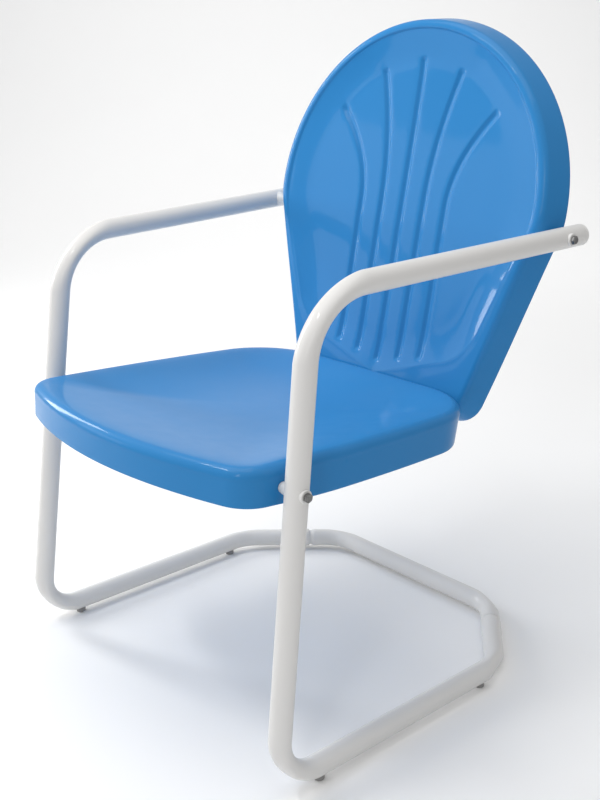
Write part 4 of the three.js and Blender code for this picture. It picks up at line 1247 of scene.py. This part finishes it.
def fold_rings(layout, inset, normals):
    """Round the fold, back along the drafted flange and round its curled hem"""
    back, hem = layout.back, layout.sheet.hem
    profile = rounding(back.roll, math.pi / 2 - back.draft, BACK_STEPS["roll"])[1:]
    along = Vector((math.sin(back.draft), math.cos(back.draft)))
    inward = Vector((-along.y, along.x))
    fold_end = Vector(profile[-1])
    profile += [fold_end + along * (back.flange - hem) * share for share in FLANGE_SHARES]
    hem_start = profile[-1]
    curled = rounding(hem, math.pi, HEM_STEPS)[1:]
    profile += [hem_start + inward * curl + along * sag for sag, curl in curled]
    rings = []
    for out, fall in profile:
        places = zip(inset, offset(inset, normals, out))
        rings.append([layout.back_point(place, edge_forward(layout, p.y) - fall) for p, place in places])
    return rings


def back_face(layout):
    """The front face of the back as one open sheet"""
    back = layout.back
    half_width = layout.back_half_width()
    foot_corner = Place(half_width * back.foot_corner_share, back.foot_height)
    fold = egg_outline(layout, half_width, back.crown, foot_corner, back.foot_radius, back.foot_height)
    panel_corner = Place(half_width * back.panel_corner_share, back.panel_corner_height)
    rim = egg_outline(
        layout, half_width - back.margin, back.crown - back.crown_margin,
        panel_corner, back.panel_corner_radius, back.keel_height)
    normals = outward_normals(fold)
    inset = offset(fold, normals, -back.roll)
    skin = Skin()
    inner = sheet_patch(skin, layout, Panel(layout, rim, inset, half_width), inset)
    for ring in fold_rings(layout, inset, normals):
        outer = skin.ring(ring)
        skin.bridge(inner, outer)
        inner = outer
    return mesh_object("back_face", skin.points, skin.faces)


# Fittings

Fitting = namedtuple("Fitting", "at facing along")


def both_sides(at, facing, along):
    """A left-hand fitting and its mirror image"""
    flip = Vector((-1, 1, 1))
    return [Fitting(at, facing, along), Fitting(at * flip, facing * flip, along * flip)]


def set_fittings(name, shape, places, material):
    """Copies of one shape at their places, made by the fitting tree"""
    source = station_object(name + "_places", places)
    piece = run_tree(name, source, fitting_tree(), {"Shape": shape, "Material": material})
    bpy.data.objects.remove(shape)
    shade(piece, FITTING_CREASE)
    return piece


def directions():
    """Even directions round a fitting"""
    sides = chair("fittings").sides
    return [2 * math.pi * k / sides for k in range(sides)]


def circle(radius, height):
    """A ring about Z, or a pole where its radius is nothing"""
    if radius == 0:
        return [(0, 0, height)]
    return [(radius * math.cos(t), radius * math.sin(t), height) for t in directions()]


def hexagon(height_at):
    """A six-sided ring whose height depends on the distance from the axis"""
    half = chair("fittings").flats / 2
    radii = [half / math.cos(t % (math.pi / 3) - math.pi / 6) for t in directions()]
    return [(r * math.cos(t), r * math.sin(t), height_at(r)) for r, t in zip(radii, directions())]


def solid(name, rings, looped=False):
    """A closed solid skinned over rings, from pole to pole or round to the first ring again"""
    skin = Skin()
    numbers = skin.rings(rings)
    if looped:
        skin.bridge(numbers[-1], numbers[0])
    piece = mesh_object(name, skin.points, skin.faces)
    face_outwards(piece)
    return piece


def hex_rings(bottom, top):
    """Six sides between two chamfered faces, from the bottom face's edge to the top face's edge"""
    face = chair("fittings").flats / 2 * HEAD_FACE_SHARE
    slope = math.tan(chair("fittings").chamfer)
    return [
        circle(face, bottom),
        hexagon(lambda r: bottom + (r - face) * slope / 2),
        hexagon(lambda r: top - (r - face) * slope),
        circle(face, top),
    ]


def thread_rings(start, stop):
    """Ridges of a thread from one height down to another"""
    sizes = chair("fittings")
    groove = sizes.bolt_radius - sizes.thread_depth
    rings = []
    height = start
    while height - sizes.thread_pitch > stop:
        rings += [circle(sizes.bolt_radius, height), circle(groove, height - sizes.thread_pitch / 2)]
        height -= sizes.thread_pitch
    return rings + [circle(sizes.bolt_radius, height), circle(groove, stop)]


def hex_bolt(name, under_head, top, tail, threaded):
    """Hexagon bolt on Z with a dished head, a plain shank and a threaded tail"""
    sizes = chair("fittings")
    dish = sizes.flats / 2 * HEAD_FACE_SHARE * HEAD_DISH_SHARE
    rings = [circle(radius, top - sizes.thread_depth) for radius in (0, dish)]
    rings += reversed(hex_rings(under_head, top))
    rings += [circle(sizes.bolt_radius, under_head)]
    rings += thread_rings(tail + threaded, tail)
    return solid(name, rings + [circle(0, tail)])


def hex_nut(name, bottom, top):
    """Hexagon nut on Z with a locking collar at its lower end"""
    sizes = chair("fittings")
    hole = sizes.bolt_radius + chair("sheet").gap
    collar = sizes.flats / 2 * HEAD_FACE_SHARE
    low = bottom + sizes.nut_collar
    rings = [circle(hole, bottom), circle(collar - sizes.nut_collar / 2, bottom)]
    rings += [circle(collar, low - sizes.nut_collar / 2)]
    rings += hex_rings(low, top)
    return solid(name, rings + [circle(hole, top)], looped=True)


def saddle_pad(name, radii, reach, edge, tilt):
    """Pad on Z, flat at its reach, tapering between two radii and hollowed to sit on a tube along X"""
    tube = chair("tube").radius + chair("sheet").gap / 2
    wide, narrow = radii

    def surface(x, y):
        return x * math.tan(tilt) + math.sqrt(tube**2 - y**2) / math.cos(tilt)

    def saddle(share):
        ring = []
        for x, y, _ in circle(1, 0):
            radius = wide
            for _ in range(PAD_ROUNDS):
                height = surface(x * radius, y * radius)
                radius = mix(wide, narrow, (height - tube / 2) / (reach - tube / 2))
            at_x, at_y = x * radius * share, y * radius * share
            ring.append((at_x, at_y, surface(at_x, at_y)))
        return ring

    rings = [circle(0, reach), circle(narrow - edge * 2, reach)]
    rounded = rounding(edge, math.pi / 2, PAD_EDGE_STEPS)
    rings += [circle(narrow - edge + run, reach - fall) for run, fall in rounded]
    rings += [saddle(share) for share in SADDLE_RING_SHARES]
    return solid(name, rings + [circle(0, surface(0, 0))])


def domed_head(name, head_radius, head, shank_radius, tail):
    """Round-headed bolt or screw on Z, with its head's underside at zero and a cross recess"""
    recess = head_radius * CROSS_REACH_SHARE

    def crossed(radius, depth):
        arm = recess * CROSS_ARM_SHARE
        return [(x, y, z - depth if min(abs(x), abs(y)) < arm else z) for x, y, z in circle(radius, head)]

    rings = [circle(0, head - head * CROSS_RING_SHARES[0][1])]
    rings += [crossed(recess * out, head * depth) for out, depth in CROSS_RING_SHARES]
    rings += [circle(recess * CROSS_BROW_SHARE, head)]
    for k in range(1, DOME_STEPS + 1):
        turn = math.pi / 2 * k / DOME_STEPS
        radius = mix(recess * CROSS_BROW_SHARE, head_radius, math.sin(turn))
        rings.append(circle(radius, head * math.cos(turn) ** DOME_POWER if k < DOME_STEPS else 0))
    rings += [circle(shank_radius, 0), circle(shank_radius, -tail), circle(0, -tail)]
    return solid(name, rings)


def domed_plug(name):
    """Plug on Z with a straight lip and a dome, and a stem that goes into the tube"""
    sizes, tube, gap = chair("fittings"), chair("tube"), chair("sheet").gap
    stem = tube.radius - tube.wall - gap
    rings = [circle(0, -tube.radius), circle(stem, -tube.radius), circle(stem, gap)]
    rings += [circle(tube.radius - sizes.edge / 2, gap), circle(tube.radius, gap + sizes.edge / 2)]
    for k in range(DOME_STEPS + 1):
        turn = math.pi / 2 * k / DOME_STEPS
        height = gap + sizes.plug_lip + sizes.plug_dome * math.sin(turn)
        rings.append(circle(tube.radius * math.cos(turn) if k < DOME_STEPS else 0, height))
    return solid(name, rings)


# Handing over to the frame


def pair(name):
    """The left-hand and right-hand nodes of a piece"""
    return [f"{name}_{side}" for side in SIDES]


def hand_over(piece, nodes, body):
    """Hides the nodes that a piece stands for and hangs the piece on the body that it rides on"""
    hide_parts(*nodes)
    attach(piece, body)


FITTING_FINISHES = {"zinc": zinc_plate, "white_plastic": white_moulding, "grey_plastic": grey_moulding}


def fit(name, slot, shape, places, nodes, body="seat_frame"):
    """Sets fittings in their finish and hands them over"""
    hand_over(set_fittings(name, shape, places, FITTING_FINISHES[slot]()), nodes, body)


def check_against(piece, nodes, slack):
    """Stops where a piece's box departs from the box of the nodes that it stands for"""
    boxes = [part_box(node) for node in nodes]
    for axis in range(3):
        wanted = (min(low[axis] for low, _ in boxes), max(high[axis] for _, high in boxes))
        values = [vertex.co[axis] for vertex in piece.data.vertices]
        found = (min(values), max(values))
        if max(abs(a - b) for a, b in zip(found, wanted)) > slack:
            raise RuntimeError(f"{piece.name} spans {found} along axis {axis}, and its nodes {wanted}")


class BuildSideTubes(bpy.types.Operator):
    """Bends the two side tubes, each an arm, a leg, a springy bend and a floor rail in one"""

    bl_idname = "chair.build_side_tubes"
    bl_label = "Side tubes"

    def execute(self, context):
        layout = Layout()
        line = side_tube_line(layout)
        for side, sign in SIDES.items():
            flip = Vector((sign, 1, 1))
            turned = [Station(s.at * flip, s.outward * flip, s.squeeze, s.thickness) for s in line]
            piece = sweep(f"side_tube_{side}", turned, frame_enamel())
            nodes = [f"{name}_{side}" for name in ("arm_and_leg", "spring_bend", "floor_rail")]
            check_against(piece, nodes, FIT_SLACK)
            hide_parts(*nodes)
            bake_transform(piece)
        return {"FINISHED"}


class BuildRearTube(bpy.types.Operator):
    """Bends the rear cross tube, whose necks slip into the side tubes"""

    bl_idname = "chair.build_rear_tube"
    bl_label = "Rear cross tube"

    def execute(self, context):
        piece = sweep("rear_tube", rear_tube_line(Layout()), frame_enamel())
        check_against(piece, ["rear_cross_tube"], FIT_SLACK)
        hand_over(piece, ["rear_cross_tube"], "base")
        return {"FINISHED"}


class BuildSeat(bpy.types.Operator):
    """Presses the dished seat with its rolled edge and skirt"""

    bl_idname = "chair.build_seat"
    bl_label = "Seat"

    def execute(self, context):
        skin = Skin()
        skin.rings(seat_rings(Layout()))
        pressed(mesh_object("seat_face", skin.points, skin.faces), "seat_pan", FIT_SLACK)
        return {"FINISHED"}


class BuildBack(bpy.types.Operator):
    """Presses the egg-shaped back with its ribs, ledge and folded edge"""

    bl_idname = "chair.build_back"
    bl_label = "Back"

    def execute(self, context):
        pressed(back_face(Layout()), "back_shell", CROWN_SLACK)
        return {"FINISHED"}


class BuildFrameBolts(bpy.types.Operator):
    """Sets the bolts and nuts that carry the seat and the back between the side tubes"""

    bl_idname = "chair.build_frame_bolts"
    bl_label = "Frame bolts and nuts"

    def execute(self, context):
        layout = Layout()
        for name, at, along in layout.bolted():
            bolt, nut, washer = (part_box(f"{name}_{kind}_left") for kind in ("bolt", "nut", "washer"))
            under_head = washer[1].x - at.x + layout.sheet.gap
            threaded = nut[1].x - bolt[0].x
            places = both_sides(at, OUTWARDS, along)
            shape = hex_bolt("bolt_shape", under_head, bolt[1].x - at.x, bolt[0].x - at.x, threaded)
            fit(f"{name}_bolts", "zinc", shape, places, pair(f"{name}_bolt"))
            shape = hex_nut("nut_shape", nut[0].x - at.x, nut[1].x - at.x)
            fit(f"{name}_nuts", "zinc", shape, places, pair(f"{name}_nut"))
        return {"FINISHED"}


class BuildPads(bpy.types.Operator):
    """Sets the moulded washers and spacers that sit on the round tubes"""

    bl_idname = "chair.build_pads"
    bl_label = "Washers and spacers"

    def execute(self, context):
        sizes = context.scene.chair_fittings
        for name, at, along in Layout().bolted():
            tilt = math.asin(along.x)
            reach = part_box(f"{name}_washer_left")[1].x - at.x
            shape = saddle_pad("washer_shape", (sizes.washer_radius,) * 2, reach, sizes.edge, tilt)
            places = both_sides(at, OUTWARDS, along)
            fit(f"{name}_washers", "white_plastic", shape, places, pair(f"{name}_washer"))
            reach = at.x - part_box(f"{name}_spacer_left")[0].x
            radii = (getattr(sizes, f"{name}_spacer_radius"), sizes.spacer_wall_radius)
            shape = saddle_pad("spacer_shape", radii, reach, sizes.edge, -tilt)
            places = both_sides(at, -OUTWARDS, along)
            fit(f"{name}_spacers", "white_plastic", shape, places, pair(f"{name}_spacer"))
        return {"FINISHED"}


class BuildJoiningBolts(bpy.types.Operator):
    """Sets the three bolts that join the seat's rear skirt to the foot of the back"""

    bl_idname = "chair.build_joining_bolts"
    bl_label = "Joining bolts"

    def execute(self, context):
        layout = Layout()
        sizes, sheet = context.scene.chair_fittings, layout.sheet
        rearwards = -layout.back_front
        below = layout.back.joining_below_crest - layout.seat.roll
        centre = layout.rim - layout.back_up * below + rearwards * (sheet.thickness + sheet.gap * 2)
        spacing = middle("joining_bolt_3").x
        places = [Fitting(centre + OUTWARDS * spacing * k, rearwards, layout.back_up) for k in (-1, 0, 1)]
        stack = sheet.thickness * 2 + sheet.gap * 3
        tail = stack + sizes.nut_height + sizes.bolt_radius
        bolt = domed_head(
            "joining_bolt_shape", sizes.round_head, sizes.round_head_height, sizes.bolt_radius, tail)
        fit("joining_bolts", "zinc", bolt, places, [f"joining_bolt_{k}" for k in (1, 2, 3)])
        nut = hex_nut("joining_nut_shape", -stack - sizes.nut_height, -stack)
        fit("joining_nuts", "zinc", nut, places, [f"joining_nut_{k}" for k in (1, 2, 3)])
        return {"FINISHED"}


class BuildArmPlugs(bpy.types.Operator):
    """Presses the domed plugs into the rear ends of the arms"""

    bl_idname = "chair.build_arm_plugs"
    bl_label = "Arm plugs"

    def execute(self, context):
        layout = Layout()
        places = both_sides(layout.arm_end, layout.arm, OUTWARDS)
        fit("arm_plugs", "white_plastic", domed_plug("plug_shape"), places, pair("arm_plug"))
        return {"FINISHED"}


class BuildFloorFittings(bpy.types.Operator):
    """Sets the glides under the floor rails and the screws that lock the slip joints"""

    bl_idname = "chair.build_floor_fittings"
    bl_label = "Glides and joint screws"

    def execute(self, context):
        layout = Layout()
        sizes = context.scene.chair_fittings
        height = layout.front_corner.z
        for end in ("front", "rear"):
            at = middle(f"glide_{end}_left")
            at.z = height
            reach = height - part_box(f"glide_{end}_left")[0].z
            shape = saddle_pad("glide_shape", (sizes.glide_radius,) * 2, reach, sizes.glide_edge, 0)
            places = both_sides(at, -UP, layout.rail)
            fit(f"glides_{end}", "grey_plastic", shape, places, pair(f"glide_{end}"), "base")
        low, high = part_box("joint_screw_left")
        at = (low + high) / 2
        at.z = low.z + sizes.screw_head_height
        shape = domed_head(
            "screw_shape", sizes.screw_head, sizes.screw_head_height, sizes.screw_radius, high.z - at.z)
        fit("joint_screws", "zinc", shape, both_sides(at, -UP, layout.stub), pair("joint_screw"), "base")
        return {"FINISHED"}


# Studio


def add_light(name, size, power, at, aim):
    """A soft rectangular light that looks at a place"""
    data = bpy.data.lights.new(name, "AREA")
    data.shape = "RECTANGLE"
    data.size, data.size_y = size
    data.energy = power
    light = bpy.data.objects.new(name, data)
    bpy.context.scene.collection.objects.link(light)
    light.location = at
    light.rotation_mode = "QUATERNION"
    light.rotation_quaternion = (Vector(aim) - Vector(at)).to_track_quat("-Z", "Y")


def backdrop(studio):
    """Studio floor that curves up into a wall behind the chair, square to the camera"""
    half = studio.floor_span / 2
    profile = [(-half, 0), (studio.floor_depth, 0)]
    for run, rise in rounding(studio.cove, math.pi / 2, COVE_STEPS)[1:]:
        profile.append((studio.floor_depth + run, rise))
    profile.append((profile[-1][0], studio.cove + studio.wall_height))
    away = Vector((-math.sin(studio.heading), math.cos(studio.heading), 0))
    across = Vector((away.y, -away.x, 0))
    corners = []
    for back, up in profile:
        for side in (-half, half):
            corners.append(away * back + across * side + UP * up)
    faces = [(k, k + 1, k + 3, k + 2) for k in range(0, len(corners) - 2, 2)]
    sheet = mesh_object("studio_floor", corners, faces)
    sheet.data.shade_smooth()
    return sheet


# Sizes and places in metres, power in watts
LIGHTS = {
    "left_softbox": {"size": (0.45, 1.35), "power": 27, "at": (-2.2, -0.7, 1.25), "aim": (0, 0, 0.5)},
    "key_softbox": {"size": (0.8, 0.12), "power": 11, "at": (-0.75, -1.3, 2.5), "aim": (0, 0, 0.4)},
    "top_softbox": {"size": (3, 3), "power": 50, "at": (-0.3, -0.5, 3.4), "aim": (0, 0, 0.3)},
    "front_softbox": {"size": (0.5, 1.2), "power": 10, "at": (1.5, -2.3, 1.7), "aim": (0, 0, 0.5)},
    "low_softbox": {"size": (1, 0.9), "power": 4.5, "at": (-2.25, -1.9, 1), "aim": (0, 0.2, 0.6)},
    "wall_softbox": {"size": (5, 1.5), "power": 48, "at": (-2.4, 2.1, 2.6), "aim": (-3.3, 2.95, 0.9)},
}


class BuildStage(bpy.types.Operator):
    """Sets up the camera, the pale floor and the soft studio lights"""

    bl_idname = "chair.build_stage"
    bl_label = "Stage"

    def execute(self, context):
        studio = context.scene.chair_studio
        data = bpy.data.cameras.new("camera")
        data.lens = studio.lens
        camera = bpy.data.objects.new("camera", data)
        context.scene.collection.objects.link(camera)
        camera.location = studio.eye
        camera.rotation_euler = (math.pi / 2 - studio.fall, 0, studio.heading)
        context.scene.camera = camera
        floor = backdrop(studio)
        floor.data.materials.append(studio_floor())
        for name, light in LIGHTS.items():
            add_light(name, **light)
        world = bpy.data.worlds.new("studio")
        world.use_nodes = True
        background = world.node_tree.nodes["Background"]
        background.inputs["Color"].default_value = (1, 1, 1, 1)
        background.inputs["Strength"].default_value = studio.sky
        context.scene.world = world
        context.scene.view_settings.view_transform = "Standard"
        return {"FINISHED"}


OPERATORS = (
    BuildStage,
    BuildSideTubes,
    BuildRearTube,
    BuildSeat,
    BuildBack,
    BuildFrameBolts,
    BuildPads,
    BuildJoiningBolts,
    BuildArmPlugs,
    BuildFloorFittings,
)

PROPERTY_GROUPS = {
    "chair_tube": TubeSizes,
    "chair_sheet": SheetSizes,
    "chair_seat": SeatSizes,
    "chair_back": BackSizes,
    "chair_rib": RibSizes,
    "chair_fittings": FittingSizes,
    "chair_colours": FinishColours,
    "chair_studio": StudioSettings,
}


class ChairPanel(bpy.types.Panel):
    """Lists the steps that build the chair"""

    bl_idname = "VIEW3D_PT_lawn_chair"
    bl_label = "Lawn Chair"
    bl_space_type = "VIEW_3D"
    bl_region_type = "UI"
    bl_category = "Lawn Chair"

    def draw(self, context):
        for operator in OPERATORS:
            self.layout.operator(operator.bl_idname)


def register():
    """Registers the sizes, the operators and the panel"""
    for name, group in PROPERTY_GROUPS.items():
        bpy.utils.register_class(group)
        setattr(bpy.types.Scene, name, bpy.props.PointerProperty(type=group))
    for operator in OPERATORS:
        bpy.utils.register_class(operator)
    bpy.utils.register_class(ChairPanel)


def unregister():
    """Takes everything out again"""
    bpy.utils.unregister_class(ChairPanel)
    for operator in reversed(OPERATORS):
        bpy.utils.unregister_class(operator)
    for name, group in reversed(PROPERTY_GROUPS.items()):
        delattr(bpy.types.Scene, name)
        bpy.utils.unregister_class(group)


def main():
    """Builds the whole scene"""
    register()
    for operator in OPERATORS:
        family, name = operator.bl_idname.split(".")
        getattr(getattr(bpy.ops, family), name)()


if __name__ == "__main__":
    main()
